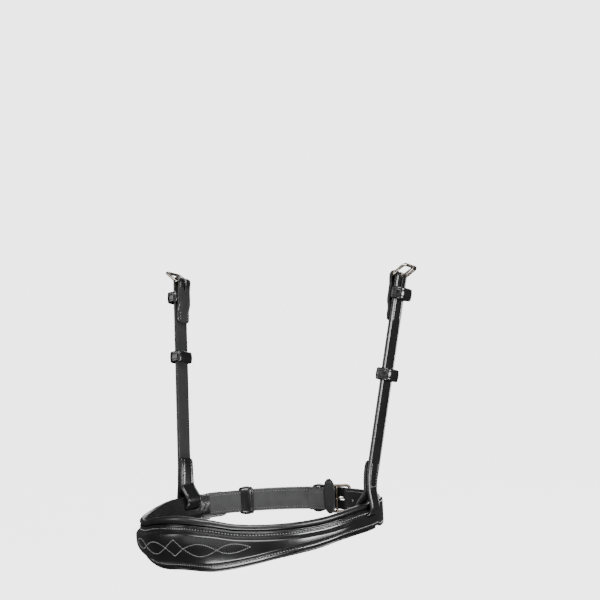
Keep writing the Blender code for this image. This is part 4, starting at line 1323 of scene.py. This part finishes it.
def make_guard():
    """A round-ended flap of soft leather behind the buckle's fold, creased along its edge."""
    middle = CHIN_BAR_AT - GUARD_PAST_BAR
    out = CHIN_BAR_OUT - CHIN_PLY - CHIN_THICK / 2 - GAP - GUARD_THICK / 2
    steps, sides = 60, 28
    rings = []
    for step in range(steps + 1):
        share = -cos(pi * step / steps)
        height = GUARD_RISE + share * GUARD_HEIGHT / 2
        half = GUARD_WIDTH / 2 * max((1 - abs(share) ** 3) ** 0.5, 0.02)
        thick = GUARD_THICK * (1 - 0.4 * abs(share) ** 6)
        ring = []
        for turn in range(sides):
            angle = 2 * pi * turn / sides
            wide = abs(cos(angle)) ** 0.5 * (1 if cos(angle) >= 0 else -1)
            deep = abs(sin(angle)) ** 0.7 * (1 if sin(angle) >= 0 else -1)
            rim = dip(max(abs(share), abs(wide)), 0.86, 0.05, 0.2 * MM)
            ring.append(place_chin(middle + half * wide, out + (thick / 2 + rim) * deep, height))
        rings.append(ring)
    made = loft("guard_leather", rings, "guard", smooth=70)
    dress(made, "band", "guard", "chin_buckle_guard")


make_lining()
make_facing()
make_band_stitches()
make_fancy()
for strap_side, strap_name in ((1, "near"), (-1, "off")):
    make_cheek(strap_name, strap_side)
    make_cheek_buckle(strap_name, strap_side)
make_buckle_strap()
make_billet()
make_chin_buckle()
make_chin_keepers()
make_guard()


# Studio


def make_camera():
    data = bpy.data.cameras.new("photo_camera")
    data.lens = CAMERA_LENS
    data.clip_start = 0.05
    data.clip_end = 50
    camera = bpy.data.objects.new("photo_camera", data)
    bpy.context.collection.objects.link(camera)
    right = Vector((cos(CAMERA_TURN), sin(CAMERA_TURN), 0))
    away = Vector((sin(CAMERA_TURN), -cos(CAMERA_TURN), 0))
    side = right * cos(CAMERA_ROLL) - UP * sin(CAMERA_ROLL)
    over = right * sin(CAMERA_ROLL) + UP * cos(CAMERA_ROLL)
    turn = Matrix((side, over, away)).transposed().to_4x4()
    spot = away * CAMERA_AWAY + right * CAMERA_RIGHT + UP * CAMERA_HEIGHT
    camera.matrix_world = Matrix.Translation(spot) @ turn
    bpy.context.scene.camera = camera


FLOOR_Z = -0.30
SWEEP_RADIUS = 3.2
SWEEP_BEND = 1.2
SWEEP_TOP = 3.4
SWEEP_TURNS = 72
PAPER_LIGHT = 0.5
PAPER_GLOW = 3.4
WORLD_LIGHT = 0.07
# Each light: its name, place, size, power and, where it isn't the middle, the place that it faces
LIGHTS = (
    ("top_box", (0.35, -0.65, 1.5), (1.5, 0.5), 50),
    ("low_box", (0.11, -0.22, -0.28), (0.3, 0.09), 2.2, (0.03, -0.10, -0.03)),
    ("side_box", (1.3, 0.15, 0.06), (0.8, 0.3), 26),
    ("front_box", (1.7, -1.5, 0.9), (0.9, 1.2), 8),
    ("left_box", (-1.4, -1.6, 0.7), (0.4, 1.4), 12),
    ("camera_box", (0.3, -2.2, 0.0), (2.8, 1.0), 10),
    ("back_box", (-0.9, 1.9, 0.8), (1.4, 0.7), 11),
)


def make_studio():
    """A round white sweep with no corner, so that every side has the same pale ground."""
    flat = SWEEP_RADIUS - SWEEP_BEND
    profile = [(0.002, FLOOR_Z), (1.2, FLOOR_Z), (flat, FLOOR_Z)]
    bend(profile, (flat, FLOOR_Z + SWEEP_BEND), SWEEP_BEND, -pi / 2, pi / 2, 12)
    profile.append((SWEEP_RADIUS, SWEEP_TOP))
    points = []
    for radius, height in profile:
        points += circle(UP * height, Vector((1, 0, 0)), Vector((0, 1, 0)), radius, SWEEP_TURNS)
    mesh = bpy.data.meshes.new("studio_sweep")
    mesh.from_pydata(points, [], loft_faces(len(profile), SWEEP_TURNS, False)[:-1])
    mesh.shade_smooth()
    mesh.materials.append(paper("studio_paper", PAPER_LIGHT, PAPER_GLOW))
    sweep = bpy.data.objects.new("studio_sweep", mesh)
    bpy.context.collection.objects.link(sweep)
    sweep.visible_diffuse = False
    sweep.visible_glossy = False


def make_lights():
    world = bpy.data.worlds.new("studio_world")
    world.use_nodes = True
    sky = world.node_tree.nodes["Background"].inputs
    sky["Color"].default_value = (1, 1, 1, 1)
    sky["Strength"].default_value = WORLD_LIGHT
    bpy.context.scene.world = world
    for name, spot, size, power, *target in LIGHTS:
        data = bpy.data.lights.new(name, "AREA")
        data.shape = "RECTANGLE"
        data.size, data.size_y = size
        data.energy = power
        light = bpy.data.objects.new(name, data)
        light.location = spot
        light.visible_camera = False
        light.rotation_euler = (Vector(*target) - Vector(spot)).to_track_quat("-Z", "Y").to_euler()
        bpy.context.collection.objects.link(light)


make_camera()
make_studio()
make_lights()
